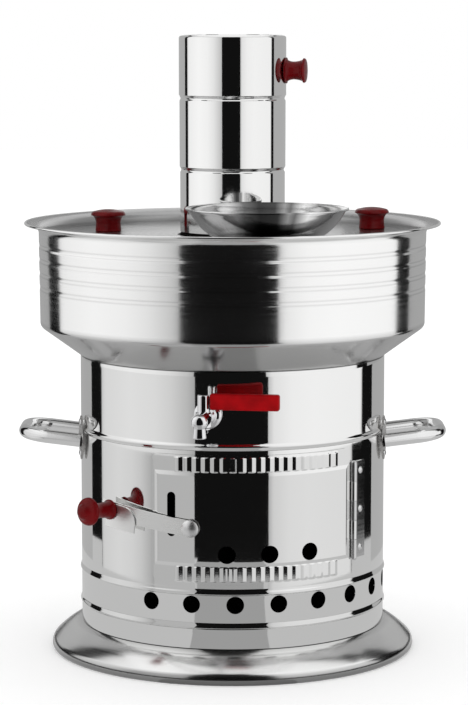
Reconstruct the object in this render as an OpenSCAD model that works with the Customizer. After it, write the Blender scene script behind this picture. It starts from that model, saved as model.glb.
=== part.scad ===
// Wood-fired stainless samovar: a spun tank and basin over a firebox, with a fire tube through the
// tank, a lift-off chimney, a lift-off lid, a dish for the teapot, a hinged door and a plug tap.
// The origin is the centre of the foot ring, where it meets the table. The front faces -Y.

/* [Sheet metal] */
// Thickness of the stainless sheet
sheet_t = 0.8; // [0.6:0.1:1.1]
// How far a pressed bead stands proud of the body
bead_out = 1.1; // [0.8:0.1:1.5]
// Height of a pressed bead
bead_h = 4.4; // [3.6:0.2:5.2]

/* [Heights] */
// Height of the flared foot
foot_h = 23.5; // [22:0.5:26]
// From the top of the foot to the bead that holds the ash floor
floor_rise = 18; // [16:0.5:20]
// Height of the band of air holes, between the two lower beads
vent_band_h = 27; // [24:1:32]
// Height of the firebox, from the upper bead to the tank seam
firebox_h = 116; // [108:1:126]
// Height of the straight tank tube, from its seam to the basin
tank_h = 59; // [52:1:66]
// Rise of the tank's domed floor from the seam to the fire tube
dome_rise = 36; // [30:1:42]
// Height of the cone under the basin
cone_h = 25.5; // [20:0.5:28]
// Height of the basin wall, from the cone to the flared lip
wall_h = 75; // [72:0.5:86]
// Height of the flared lip
lip_h = 8; // [6:0.5:10]
// Height of the chimney above the lid
chimney_h = 162; // [140:1:180]

/* [Diameters] */
// Outside radius of the body
body_r = 125; // [118:1:130]
// Outside radius of the foot
foot_r = 149.8; // [144:0.2:156]
// Thickness of the rolled edge of the foot
foot_roll_d = 8; // [6:0.5:10]
// Outside radius of the basin wall at its top
basin_r = 158.5; // [152:0.5:165]
// Inward taper of the basin wall towards the cone
basin_taper = 0.8; // [0:0.2:1.6]
// How far the lip flares beyond the basin wall
lip_out = 11.7; // [9:0.1:14]
// Outside radius of the chimney between its two grooves
chimney_r = 43.4; // [40:0.2:46]
// Step of the chimney's radius at each groove
chimney_step = 0.45; // [0.2:0.05:0.8]
// Room between the chimney and the fire tube inside it
chimney_clear = 0.7; // [0.4:0.1:1]

/* [Chimney] */
// From the chimney's top down to its upper groove
upper_groove_drop = 51.5; // [46:0.5:58]
// Distance between the chimney's two grooves
chimney_groove_pitch = 58; // [50:1:66]
// Height of a groove in the chimney
chimney_groove_h = 4; // [3:0.5:5]
// Depth of a groove in the chimney
chimney_groove_deep = 0.8; // [0.4:0.1:1.2]
// From the chimney's top down to its knob
chimney_knob_drop = 29; // [22:1:36]
// Angle of the chimney's knob from the front
chimney_knob_at = 78; // [70:1:90]

/* [Basin ribs and lid] */
// Number of grooves pressed round the basin wall
groove_n = 4; // [3:1:5]
// Distance between the grooves
groove_pitch = 11.3; // [9:0.1:13]
// Depth of a groove
groove_deep = 0.6; // [0.4:0.1:1.5]
// Height of a groove
groove_h = 6; // [4:0.5:8]
// From the top groove up to the flared lip
groove_drop = 10.6; // [8:0.2:14]
// Depth of the lid's top under the start of the lip
lid_sunk = 2; // [1:0.5:4]
// Room between the lid's skirt and the basin wall
lid_clear = 0.6; // [0.4:0.1:1]
// Room between the lid's hole and the chimney
lid_hole_clear = 1.6; // [1:0.1:3]
// Radius of a lid knob's face
lid_knob_r = 14.3; // [12:0.1:17]
// Height of a lid knob
lid_knob_h = 18; // [15:0.5:22]

/* [Teapot dish] */
// Radius of the dish at its rim
dish_r = 63.8; // [58:0.2:64]
// Radius of the dish's flat bottom
dish_floor_r = 28; // [24:1:34]
// Height of the dish
dish_h = 28; // [22:1:34]
// Sideways place of the dish on the lid
dish_x = 27; // [15:1:35]
// Distance of the dish in front of the chimney's axis
dish_y = 106; // [106:1:112]

/* [Air holes] */
// Diameter of an air hole
vent_d = 14; // [10:1:17]
// Number of air holes
vent_n = 18; // [12:1:20]
// Angle between air holes
vent_pitch = 16; // [14:1:18]
// Angle of the first air hole from the front
vent_first = -31; // [-40:1:-20]
// Depth of the holes' centres under the upper bead
vent_drop = 9.5; // [9:0.5:14]

/* [Fire door] */
// Angle of the door's free edge from the front
door_left = -30.2; // [-34:0.2:-27]
// Angle of the hinge from the front
hinge_at = 49.5; // [46:0.5:54]
// Gap between a bead and the door's edge above or below it
door_inset = 4.5; // [3:0.5:6]
// How far the door laps over the edge of its opening
door_lap = 6.8; // [5:0.2:9]
// Running gap between the door and the body
door_gap = 0.4; // [0.3:0.1:0.6]
// How far the door's middle panel is pressed out
panel_out = 0.6; // [0.4:0.1:0.7]
// Number of flutes in a row
flute_n = 19; // [13:1:21]
// Angle between flutes
flute_pitch = 3.3; // [3:0.1:3.4]
// Angle of a row's first flute from the front
flute_first = -19.6; // [-21:0.2:-17]
// Width of a flute
flute_w = 3.4; // [2.8:0.2:4.2]
// Length of a flute
flute_len = 12; // [9:0.5:13]
// Diameter of the door's draught holes
door_hole_d = 14; // [10:1:16]
// Angle of the first draught hole from the front
door_hole_first = -2; // [-4:0.2:0]
// Angle between draught holes
door_hole_pitch = 15.4; // [14:0.2:16]
// Angle of the peep slot from the front
slot_at = -22.3; // [-23:0.1:-21.5]
// Width of the peep slot
slot_w = 7; // [5:0.5:9]
// Length of the peep slot
slot_len = 35.5; // [28:0.5:42]
// Radius of the hinge pin
pin_r = 1.25; // [1:0.05:1.4]
// Outside radius of a hinge knuckle
knuckle_r = 2.4; // [2.2:0.1:2.8]
// Number of knuckles
knuckle_n = 5; // [3:2:7]
// Length of the hinge
hinge_len = 78; // [60:1:88]

/* [Latch] */
// Angle of the latch's pivot from the front
latch_at = -15; // [-18:0.5:-13]
// Height of the latch's pivot above the door's lower edge
latch_rise = 44; // [40:1:50]
// Width of the latch strap
strap_w = 13; // [10:0.5:15]
// Thickness of the latch strap
strap_t = 1.5; // [1:0.1:1.8]
// From the pivot to the knob, along the strap
strap_reach = 70; // [64:1:74]
// Tilt of the strap at rest
strap_tilt = 7.5; // [5:0.5:9]
// Radius of the latch knob's face
latch_knob_r = 11.2; // [9:0.1:13]
// Length of the latch knob
latch_knob_len = 30; // [24:1:32]

/* [Tap] */
// Angle of the tap from the front
tap_at = -8.6; // [-12:0.2:-5]
// Height of the tap above the tank seam
tap_rise = 26; // [24:0.5:30]
// Outside radius of the tap's barrel
barrel_r = 6.6; // [6:0.1:7.2]
// Radius of the water way
bore_r = 3; // [2.2:0.1:3.2]
// From the body to the plug's axis
plug_out = 25; // [22:0.5:28]
// From the plug's axis to the spout's axis
spout_out = 18.5; // [16:0.5:22]
// Length of the spout below the barrel's axis
spout_drop = 12.5; // [10:0.5:16]
// Radius of the plug
plug_r = 4.5; // [4.2:0.1:5]
// Length of the red grip
grip_len = 54; // [46:1:60]
// Height of the red grip
grip_h = 12.6; // [10:0.2:14]
// Thickness of the red grip
grip_t = 8; // [6:0.5:9]

/* [Side handles] */
// Diameter of the handle's tube
handle_d = 11; // [9:0.5:13]
// How far a handle stands out from the body
handle_out = 50.6; // [44:0.2:58]
// Distance between the two arms of a handle
handle_span = 62; // [54:1:70]
// Depth of the handles' middle under the tank seam
handle_drop = 3.5; // [0:0.5:6]
// Height of a handle's plate
plate_h = 36; // [32:1:40]
// Width of a handle's plate
plate_w = 18; // [14:1:22]

/* [Hidden] */
// Room between fixed pieces that are fitted together
seat = 0.1;
// Room between pieces that move past each other
run = 0.3;
// Radial running clearance of pins and plugs
pin_clear = 0.05;
// Points along half of a pressed bead, and along any other bend
bead_steps = 4;
curve_steps = 8;
$fn = 128;

floor_bead_z = foot_h + floor_rise;
grate_bead_z = floor_bead_z + vent_band_h;
seam_z = grate_bead_z + firebox_h;
basin_z = seam_z + tank_h;
wall_z = basin_z + cone_h;
lip_z = wall_z + wall_h;
lid_z = lip_z - lid_sunk;
chimney_top_z = lid_z + chimney_h;
inner_r = body_r - sheet_t;
collar_r = inner_r - seat;
edge_r = inner_r + bead_out - run;
seam_h = bead_h + 1.6;
seam_out = bead_out + 0.2;
collar_h = 8;

foot_wire_r = foot_roll_d / 2;
foot_flat = 0.5;

tube_r = chimney_r - chimney_step - sheet_t - chimney_clear;
tube_overlap = 26;
stop_z = lid_z + 2;
chimney_z = stop_z + run;
groove_top_z = lip_z - groove_drop;
wall_low_r = basin_r - basin_taper;

lid_r = basin_r - sheet_t - lid_clear - basin_taper * 0.15;
lid_hole_r = chimney_r + lid_hole_clear;
lid_skirt_z = groove_top_z + groove_h / 2 - 0.6;
lid_knob_places = [[-103, 27], [117, 55]];
knob_screw_r = 2;
knob_bore_r = knob_screw_r + seat;
knob_hole_r = knob_screw_r + run;

upper_r = chimney_r + chimney_step;
lower_r = chimney_r - chimney_step;
upper_groove_z = chimney_top_z - upper_groove_drop;
lower_groove_z = upper_groove_z - chimney_groove_pitch;
chimney_knob_z = chimney_top_z - chimney_knob_drop;

door_r = body_r + door_gap;
door_top = seam_z - seam_h / 2 - door_inset + 1;
door_bottom = grate_bead_z + bead_h / 2 + door_inset + 0.8;
door_h = door_top - door_bottom;
knuckle_axis_r = door_r + knuckle_r - seat;
hinge_clear = 3.2;
door_right = hinge_at - angle_of(hinge_clear, door_r);
panel_side = 4;
flute_margin = 1.5;
panel_top = door_top - flute_len - 2 * flute_margin;
panel_bottom = door_bottom + flute_len + 2 * flute_margin;
panel_r = door_r + sheet_t + panel_out;
door_hole_z = panel_bottom + door_hole_d / 2 + 1.4;
slot_z = (panel_bottom + panel_top) / 2 + 3.5;
hinge_z = door_bottom + (door_h - hinge_len) / 2;
knuckle_len = hinge_len / knuckle_n;
leaf_t = 1;
leaf_w = 17;
rivet_r = 1.6;
rivet_head_r = 2.9;

latch_z = door_bottom + latch_rise;
strap_r = panel_r + 1.4;
strap_bend = body_r + 25;
strap_angle = asin(strap_reach / strap_bend);
latch_pin_r = 2.5;
latch_head_r = 7;
catch_w = 27.5;
catch_h = 19;
catch_low = 13.5;
catch_t = 1;
keeper_t = 1.2;
keeper_w = 12;
foot_t = 1.3;

tap_z = seam_z + tap_rise;
plug_y = body_r + plug_out;
spout_y = plug_y + spout_out;
gasket_t = 1.8;
flange_r = 11;
flange_t = 4;
shank_r = 6;
nut_t = 4.6;
boss_r = plug_r + 2;
boss_up = 4.8;
boss_down = 6.6;
plug_up = 19;
grip_gap = 0.8;
tongue_t = 3;
tongue_h = 7;
tongue_z = barrel_r + grip_gap + grip_h / 2;
tongue_start = 1.5 - plug_r;
stem_r = 2;

handle_z = seam_z - handle_drop;
plate_z = handle_z - 3;
plate_t = 1.5;
plate_r = body_r + seam_out + seat;
arm_at = asin(handle_span / 2 / body_r);
handle_bend = 20;

// Small helpers for angles, bends and sheet outlines
function angle_of(length, r) = length / r * 180 / PI;
function unit(v) = v / norm(v);
function left_of(v) = [-v[1], v[0]];
function bend(p, q, s, n = curve_steps) =
    [for (i = [0:n]) let (t = i / n) (1 - t) * (1 - t) * p + 2 * t * (1 - t) * q + t * t * s];
function arc(centre, r, from, to, n = curve_steps) =
    [for (i = [0:n]) let (a = from + (to - from) * i / n) centre + r * [cos(a), sin(a)]];
function bead(r, z, out, h) =
    [for (i = [0:2 * bead_steps])
        let (t = i / (2 * bead_steps)) [r + out * (1 - cos(360 * t)) / 2, z + h * (t - 0.5)]];
function side(path, i) = left_of(unit(path[i + 1] - path[i]));
function corner(path, i) =
    let (a = side(path, max(i - 1, 0)), b = side(path, min(i, len(path) - 2)), m = unit(a + b))
    m / (m * a);
// The outline of a bent sheet: its path, and the same path moved sideways by the thickness
function sheet_outline(path, t) =
    concat(path, [for (i = [len(path) - 1:-1:0]) path[i] + t * corner(path, i)]);

module spun(path, t = sheet_t) {
    rotate_extrude() polygon(sheet_outline(path, t));
}

// Children stand at the given angle from the front, radius and height, with +Z outwards
module on_wall(at, r, z) {
    rotate([0, 0, at]) translate([0, -r, z]) rotate([90, 0, 0]) children();
}

// A curved slab between two radii, two angles from the front and two heights
module wall_patch(r, t, from, to, low, high) {
    rotate([0, 0, from - 90]) rotate_extrude(angle = to - from)
        translate([r, low]) square([t, high - low]);
}

module rounded(w, h, r) {
    square([w - 2 * r, h], center = true);
    square([w, h - 2 * r], center = true);
    for (x = [-1, 1], y = [-1, 1]) translate([x * (w / 2 - r), y * (h / 2 - r)]) circle(r = r);
}

// A straight punch through the wall, between two angles and two heights
module punch(r, from, to, low, high, round_r) {
    on_wall((from + to) / 2, r / 2, (low + high) / 2) linear_extrude(r)
        rounded(2 * r * sin((to - from) / 2), high - low, round_r);
}

// A curved plate with rounded corners, cut out by a straight punch
module punched_plate(r, t, from, to, low, high, round_r) {
    intersection() {
        wall_patch(r, t, from - 5, to + 5, low - 5, high + 5);
        punch(r, from, to, low, high, round_r);
    }
}

// A low domed head on its flat side
module dome(r, h) {
    ball = (r * r + h * h) / (2 * h);
    rotate_extrude() intersection() {
        translate([0, h - ball]) circle(r = ball);
        square([r + 1, h]);
    }
}

// A rivet through sheets from back to front, with its formed heads
module rivet(back, front, shank = rivet_r, head = rivet_head_r) {
    translate([0, 0, front]) dome(head, head * 0.45);
    translate([0, 0, back - seat]) cylinder(r = shank, h = front - back + 2 * seat);
    translate([0, 0, back]) mirror([0, 0, 1]) dome(head * 0.85, head * 0.4);
}

// A pan-head screw that points up, with its head under the origin
module screw(shank, length) {
    cylinder(r = shank, h = length);
    mirror([0, 0, 1]) dome(shank * 1.9, shank * 0.9);
}

// A turned knob that stands on its base, with a blind hole for its screw
module turned_knob(base_r, waist_r, face_r, length, hole_r, edge = 2.5) {
    low = length * 0.45;
    top = length - edge;
    foot = [for (i = [0:curve_steps]) let (t = i / curve_steps)
        [waist_r + (base_r - waist_r) * pow(1 - t, 2), 0.8 + (low - 0.8) * t]];
    swell = [for (i = [1:curve_steps]) let (t = i / curve_steps)
        [waist_r + (face_r - waist_r) * t * t, low + (top - edge - low) * t]];
    rim = arc([face_r - edge, top - edge / 2], edge, -10, 75, 5);
    difference() {
        rotate_extrude()
            polygon(concat([[0, 0], [base_r, 0]], foot, swell, rim, [[0, length]]));
        translate([0, 0, -1]) cylinder(r = hole_r, h = length * 0.6 + 1);
    }
}

// Foot, floor and firebox
module base_skirt() {
    wire = [foot_r - foot_wire_r, foot_wire_r - foot_flat];
    flare = bend(wire + foot_wire_r * [cos(47), sin(47)], [body_r + 8, foot_h - 3],
        [collar_r, foot_h]);
    path = concat(arc(wire, foot_wire_r, 0, 35, 2), flare,
        [[collar_r, foot_h + floor_rise - bead_h / 2]]);
    color("gainsboro") difference() {
        rotate_extrude() {
            polygon(sheet_outline(path, sheet_t));
            translate(wire) circle(r = foot_wire_r);
        }
        translate([0, 0, -foot_roll_d]) cylinder(r = foot_r + 10, h = foot_roll_d);
    }
}

module ash_floor() {
    z = floor_bead_z + sheet_t / 2;
    color("silver") spun([[edge_r, z], [edge_r - 10, z], [edge_r - 13, z + 2], [0, z + 2]]);
}

module door_opening() {
    from = door_left + angle_of(door_lap, body_r);
    to = door_right - angle_of(door_lap, body_r);
    punch(body_r, from, to, door_bottom + door_lap, door_top - door_lap, 8);
}

module firebox_shell() {
    path = concat([[body_r, foot_h + run]],
        bead(body_r, floor_bead_z, bead_out, bead_h), bead(body_r, grate_bead_z, bead_out, bead_h),
        [[body_r, seam_z - seam_h / 2 - seat]]);
    color("gainsboro") difference() {
        spun(path);
        door_opening();
        for (i = [0:vent_n - 1])
            on_wall(vent_first + i * vent_pitch, body_r - 5, grate_bead_z - vent_drop)
                cylinder(d = vent_d, h = 10);
        hinge_rivet_places() cylinder(r = rivet_r + seat, h = 10, center = true);
        keeper_rivet_place() cylinder(r = rivet_r + seat, h = 10, center = true);
        lower_handle_rivet_places() cylinder(r = rivet_r + seat, h = 10, center = true);
    }
}

module grate_ledge() {
    z = grate_bead_z + sheet_t / 2;
    color("silver") spun([[edge_r, z], [inner_r - 14, z], [inner_r - 14, z - 5]]);
}

module fire_grate() {
    grate_t = 4;
    rim = 9;
    r = inner_r - 4;
    bar = 7;
    gap = 9;
    z = grate_bead_z + sheet_t / 2 + run;
    bars = floor((r - rim) * 2 / (bar + gap));
    color("dimgray") translate([0, 0, z]) difference() {
        cylinder(r = r, h = grate_t);
        intersection() {
            translate([0, 0, -1]) cylinder(r = r - rim, h = grate_t + 2);
            union() for (i = [0:bars - 1])
                translate([(i - (bars - 1) / 2) * (bar + gap) - gap / 2, -r, -1])
                    cube([gap, 2 * r, grate_t + 2]);
        }
    }
}

// Tank, fire tube and basin
module tank_shell() {
    path = concat(bead(body_r, seam_z, seam_out, seam_h), [[body_r, basin_z - run]]);
    color("gainsboro") difference() {
        spun(path);
        on_wall(tap_at, body_r - 5, tap_z) cylinder(r = shank_r + seat, h = 10);
        upper_handle_rivet_places() cylinder(r = rivet_r + seat, h = 10, center = true);
    }
}

module tank_floor() {
    collar = tube_r + seat + sheet_t;
    collar_z = seam_z + dome_rise;
    low = seam_z - seam_h / 2 - 5;
    path = concat([[collar_r, low]],
        bend([collar_r, seam_z + 1.5], [body_r * 0.8, seam_z + dome_rise * 0.75],
            [collar, collar_z]),
        [[collar, collar_z + 6]]);
    color("silver") spun(path);
}

module fire_tube() {
    stop_out = chimney_clear + sheet_t;
    path = concat([[tube_r, seam_z + dome_rise - 2]], bead(tube_r, stop_z - 1.8, stop_out, 3.6),
        [[tube_r, lid_z + tube_overlap]]);
    color("silver") spun(path);
}

module basin() {
    corner_r = 5;
    slope = atan((cone_h - 1) / (wall_low_r - collar_r));
    centre = [wall_low_r - corner_r, wall_z + 1.5];
    grooves = [for (i = [groove_n - 1:-1:0])
        let (z = groove_top_z - i * groove_pitch,
            r = wall_low_r + basin_taper * (z - wall_z) / wall_h)
        each bead(r, z, -groove_deep, groove_h)];
    tip = [basin_r + lip_out - 1, lip_z + lip_h - 0.6];
    path = concat([[collar_r, basin_z - collar_h], [collar_r, basin_z]],
        arc(centre, corner_r, slope - 90, 0, 5), grooves,
        bend([basin_r, lip_z], [basin_r + 1, lip_z + lip_h * 0.85], tip));
    color("gainsboro") rotate_extrude() {
        polygon(sheet_outline(path, sheet_t));
        translate(tip) circle(r = 1);
    }
}

// Lid and its knobs
module lid() {
    path = concat([[lid_r, lid_skirt_z]],
        arc([lid_r - 2, lid_z - 2], 2, 0, 90, 4), [[lid_hole_r, lid_z], [lid_hole_r, lid_z - 3]]);
    color("lightgray") difference() {
        spun(path);
        for (p = lid_knob_places)
            translate([p[0], p[1], lid_z - 5]) cylinder(r = knob_hole_r, h = 10);
    }
}

module lid_knob(place) {
    color("darkred") translate([place[0], place[1], lid_z + seat])
        turned_knob(10.8, 10.3, lid_knob_r, lid_knob_h, knob_bore_r);
}

module lid_knob_left() lid_knob(lid_knob_places[0]);

module lid_knob_right() lid_knob(lid_knob_places[1]);

module lid_knob_screws() {
    color("silver") for (p = lid_knob_places)
        translate([p[0], p[1], lid_z - sheet_t - seat]) screw(knob_screw_r, lid_knob_h * 0.55);
}

module teapot_dish() {
    rim_z = dish_h - 0.6;
    path = concat(
        [[0, 0]],
        bend([dish_floor_r, 0], [dish_r - 14, dish_h * 0.16], [dish_r - 3, dish_h - 3]),
        [[dish_r - 0.7, rim_z]]);
    color("darkgray") translate([dish_x, -dish_y, lid_z + run]) rotate_extrude() {
        polygon(sheet_outline(path, sheet_t));
        translate([dish_r - 0.9, rim_z]) circle(r = 0.9);
    }
}

// Chimney
module chimney_pipe() {
    step_up = chimney_groove_h / 2 + 0.6;
    path = concat([[lower_r, chimney_z]],
        bead(lower_r, lower_groove_z, -chimney_groove_deep, chimney_groove_h),
        [[chimney_r, lower_groove_z + step_up]],
        bead(chimney_r, upper_groove_z, -chimney_groove_deep, chimney_groove_h),
        [[upper_r, upper_groove_z + step_up], [upper_r, chimney_top_z]]);
    color("gainsboro") difference() {
        spun(path);
        on_wall(chimney_knob_at, chimney_r - 5, chimney_knob_z)
            cylinder(r = knob_hole_r, h = 10);
    }
}

module chimney_knob() {
    color("darkred") on_wall(chimney_knob_at, upper_r + seat, chimney_knob_z)
        turned_knob(10.5, 6.2, 10, 17.5, knob_bore_r);
}

module chimney_knob_screw() {
    color("silver") on_wall(chimney_knob_at, upper_r - sheet_t - run, chimney_knob_z)
        screw(knob_screw_r, 11);
}

// Fire door and its hinge
module flute_circles(r) {
    for (i = [0:flute_n - 1]) rotate(flute_first + i * flute_pitch)
        translate([0, -door_r - 0.3]) circle(r = r);
}

module flute_row(z) {
    translate([0, 0, z]) linear_extrude(flute_len) difference() {
        flute_circles(flute_w / 2);
        circle(r = door_r + 0.05);
    }
}

// The hollow that a pressed flute leaves behind it
module flute_backs(z) {
    translate([0, 0, z + sheet_t]) linear_extrude(flute_len - 2 * sheet_t)
        flute_circles(flute_w / 2 - sheet_t);
}

module fire_door() {
    left_in = door_left + angle_of(panel_side, door_r);
    right_in = door_right - angle_of(panel_side, door_r);
    lap = angle_of(sheet_t, door_r);
    flute_z = [door_bottom + flute_margin, door_top - flute_margin - flute_len];
    color("gainsboro") difference() {
        union() {
            difference() {
                punched_plate(door_r, sheet_t, door_left, door_right, door_bottom, door_top, 5);
                punch(door_r, left_in + lap, right_in - lap, panel_bottom + sheet_t,
                    panel_top - sheet_t, 3.2);
            }
            punched_plate(door_r + panel_out, sheet_t, left_in, right_in, panel_bottom,
                panel_top, 4);
            for (z = flute_z) flute_row(z);
            for (i = [1:2:knuckle_n - 2]) knuckle(i, -1);
        }
        for (z = flute_z) flute_backs(z);
        for (i = [0:2])
            on_wall(door_hole_first + i * door_hole_pitch, door_r - 5, door_hole_z)
                cylinder(d = door_hole_d, h = 12);
        on_wall(slot_at, door_r - 5, slot_z) peep_slot();
        on_wall(latch_at, door_r - 5, latch_z) cylinder(r = latch_pin_r + pin_clear, h = 12);
        on_hinge() cylinder(r = pin_r + pin_clear, h = hinge_len);
    }
}

module peep_slot() {
    straight = slot_len - slot_w;
    translate([-slot_w / 2, -straight / 2, 0]) cube([slot_w, straight, 12]);
    for (y = [-straight / 2, straight / 2]) translate([0, y, 0]) cylinder(d = slot_w, h = 12);
}

module on_hinge() {
    rotate([0, 0, hinge_at]) translate([0, -knuckle_axis_r, hinge_z]) children();
}

// One rolled knuckle and its web: towards is -1 for the door's side and 1 for the body's side
module knuckle(i, towards) {
    low = i * knuckle_len + run / 2;
    high = (i + 1) * knuckle_len - run / 2;
    web = angle_of(hinge_clear + 1, door_r);
    inset = 0.05;
    base_r = towards < 0 ? door_r + inset : body_r + seat;
    web_t = towards < 0 ? sheet_t - 2 * inset : leaf_t;
    on_hinge() translate([0, 0, low]) cylinder(r = knuckle_r, h = high - low);
    wall_patch(base_r, web_t, hinge_at - (towards < 0 ? web : 0),
        hinge_at + (towards < 0 ? 0 : web), hinge_z + low, hinge_z + high);
}

module hinge_leaf() {
    from = hinge_at + angle_of(hinge_clear, body_r);
    to = hinge_at + angle_of(leaf_w, body_r);
    color("silver") difference() {
        union() {
            wall_patch(body_r + seat, leaf_t, from, to, hinge_z, hinge_z + hinge_len);
            for (i = [0:2:knuckle_n - 1]) knuckle(i, 1);
        }
        on_hinge() translate([0, 0, -1]) cylinder(r = pin_r + pin_clear, h = hinge_len + 2);
        hinge_rivet_places() cylinder(r = rivet_r + seat, h = 10, center = true);
    }
}

module hinge_pin() {
    color("dimgray") on_hinge() {
        translate([0, 0, -seat]) cylinder(r = pin_r, h = hinge_len + 2 * seat);
        translate([0, 0, hinge_len + seat]) dome(knuckle_r * 0.85, 1.2);
        translate([0, 0, -seat]) mirror([0, 0, 1]) dome(knuckle_r * 0.85, 1.2);
    }
}

module hinge_rivet_places() {
    at = hinge_at + angle_of(leaf_w * 0.62, body_r);
    for (t = [0.1, 0.5, 0.9]) on_wall(at, body_r, hinge_z + t * hinge_len) children();
}

module hinge_rivets() {
    color("silver") hinge_rivet_places() rivet(-sheet_t - seat, leaf_t + 2 * seat);
}

// Latch: a bent strap on a shouldered rivet, a knob at its free end and a ledge on the body
module on_latch() {
    rotate([0, 0, latch_at]) translate([0, 0, latch_z]) rotate([0, strap_tilt, 0]) children();
}

// A ring concentric with the strap's bend, from its inner face outwards
module strap_ring(out, t, high) {
    translate([0, strap_bend - strap_r, -high / 2]) difference() {
        cylinder(r = strap_bend + out + t, h = high);
        translate([0, 0, -1]) cylinder(r = strap_bend + out, h = high + 2);
    }
}

// Children stand on the strap at its knob, with +Z outwards
module at_knob(out) {
    on_latch() translate([0, strap_bend - strap_r, 0])
        on_wall(-strap_angle, strap_bend + out, 0) children();
}

module latch_strap() {
    end = strap_reach + 9;
    color("silver") difference() {
        on_latch() intersection() {
            strap_ring(0, strap_t, strap_w);
            rotate([90, 0, 0]) union() {
                cylinder(d = strap_w, h = strap_bend);
                translate([-end, -strap_w / 2, 0]) cube([end, strap_w, strap_bend]);
            }
        }
        on_latch() rotate([90, 0, 0]) cylinder(r = latch_pin_r + pin_clear, h = strap_bend);
        at_knob(-5) cylinder(r = knob_hole_r, h = 10);
    }
}

module latch_catch() {
    round_r = 12;
    right = -strap_reach + catch_w - 3;
    color("silver") difference() {
        on_latch() intersection() {
            strap_ring(strap_t + seat, catch_t, 3 * catch_h);
            rotate([90, 0, 0]) union() {
                translate([right - catch_w, -catch_low, 0])
                    cube([catch_w, catch_h - round_r, strap_bend]);
                translate([right - catch_w, -catch_low, 0])
                    cube([catch_w - round_r, catch_h, strap_bend]);
                translate([right - round_r, catch_h - catch_low - round_r, 0])
                    cylinder(r = round_r, h = strap_bend);
            }
        }
        at_knob(-5) cylinder(r = knob_hole_r, h = 15);
    }
}

module latch_rivet() {
    color("silver") on_wall(latch_at, 0, latch_z) {
        translate([0, 0, door_r - foot_t - seat])
            cylinder(r = latch_pin_r, h = strap_r - door_r + 4);
        translate([0, 0, panel_r + 0.05]) cylinder(r = 5, h = strap_r - panel_r - 0.15);
        translate([0, 0, strap_r + strap_t + seat]) dome(latch_head_r, 3);
        translate([0, 0, door_r - foot_t - seat]) cylinder(r = 4, h = foot_t);
    }
}

module latch_knob() {
    color("darkred") at_knob(strap_t + catch_t + 2 * seat)
        turned_knob(8, 6, latch_knob_r, latch_knob_len, knob_bore_r, 4.5);
}

module latch_knob_screw() {
    color("silver") at_knob(-seat) {
        cylinder(r = knob_screw_r, h = latch_knob_len * 0.5);
        translate([0, 0, -1.2]) cylinder(r = 3.4, h = 1.2);
    }
}

module latch_keeper() {
    place = 3 - strap_reach;
    color("silver") difference() {
        union() {
            intersection() {
                wall_patch(body_r + seat, strap_r + 1 - body_r, latch_at - 45, latch_at,
                    latch_z - 30, latch_z + 30);
                on_latch() rotate([90, 0, 0])
                    translate([place, -strap_w / 2 - run - keeper_t, 0])
                        cube([keeper_w, keeper_t, strap_bend]);
            }
            intersection() {
                wall_patch(body_r + seat, keeper_t, latch_at - 45, latch_at,
                    latch_z - 30, latch_z + 30);
                on_latch() rotate([90, 0, 0])
                    translate([place, -catch_low + 0.5, 0])
                        cube([keeper_w, catch_low - strap_w / 2 - run - 0.5, strap_bend]);
            }
        }
        keeper_rivet_place() cylinder(r = rivet_r + seat, h = 10, center = true);
    }
}

module keeper_rivet_place() {
    away = asin((strap_reach - 9) / body_r);
    on_wall(latch_at - away, body_r, latch_z - 2) children();
}

module keeper_rivet() {
    color("silver") keeper_rivet_place() rivet(-sheet_t - seat, keeper_t + 2 * seat, 1.2, 2);
}

// Tap
module on_tap() {
    on_wall(tap_at, 0, tap_z) children();
}

module tap_body() {
    wall = body_r + gasket_t;
    color("silver") difference() {
        union() {
            on_tap() {
                translate([0, 0, inner_r - 9]) cylinder(r = shank_r, h = wall - inner_r + 9.5);
                translate([0, 0, wall]) cylinder(r = flange_r, h = flange_t - 2);
                translate([0, 0, wall + flange_t - 2])
                    cylinder(r1 = flange_r, r2 = flange_r - 3.5, h = 2);
                translate([0, 0, wall]) cylinder(r = barrel_r, h = spout_y - wall);
                translate([0, 0, spout_y]) sphere(r = barrel_r);
            }
            rotate([0, 0, tap_at]) {
                translate([0, -plug_y, tap_z - boss_down])
                    cylinder(r = boss_r, h = boss_down + boss_up);
                translate([0, -spout_y, tap_z - spout_drop])
                    cylinder(r1 = bore_r + 2.4, r2 = bore_r + 1.4, h = spout_drop);
            }
        }
        on_tap() cylinder(r = bore_r, h = spout_y);
        rotate([0, 0, tap_at]) {
            translate([0, -plug_y, tap_z - 10]) cylinder(r = plug_r + pin_clear, h = 20);
            translate([0, -spout_y, tap_z - spout_drop - 1]) cylinder(r = bore_r, h = spout_drop + 1);
        }
    }
}

module tap_gasket_outer() {
    color("dimgray") difference() {
        on_tap() translate([0, 0, body_r - 3])
            cylinder(r = flange_r - 0.5, h = gasket_t + 3 - seat);
        translate([0, 0, tap_z - 20]) cylinder(r = body_r + seat, h = 40, $fn = 256);
        on_tap() cylinder(r = shank_r + seat, h = body_r + 10);
    }
}

module tap_gasket_inner() {
    color("dimgray") intersection() {
        on_tap() translate([0, 0, inner_r - 2.6]) difference() {
            cylinder(r = 9.5, h = 5);
            translate([0, 0, -1]) cylinder(r = shank_r + seat, h = 7);
        }
        translate([0, 0, tap_z - 20]) cylinder(r = inner_r - seat, h = 40, $fn = 256);
    }
}

module tap_lock_nut() {
    color("silver") on_tap() translate([0, 0, inner_r - 2.8 - nut_t]) difference() {
        cylinder(r = 10.5, h = nut_t, $fn = 6);
        translate([0, 0, -1]) cylinder(r = shank_r + seat, h = nut_t + 2);
    }
}

// Children stand at the plug's axis, with +X towards the grip
module on_plug() {
    rotate([0, 0, tap_at]) translate([0, -plug_y, tap_z]) children();
}

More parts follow.
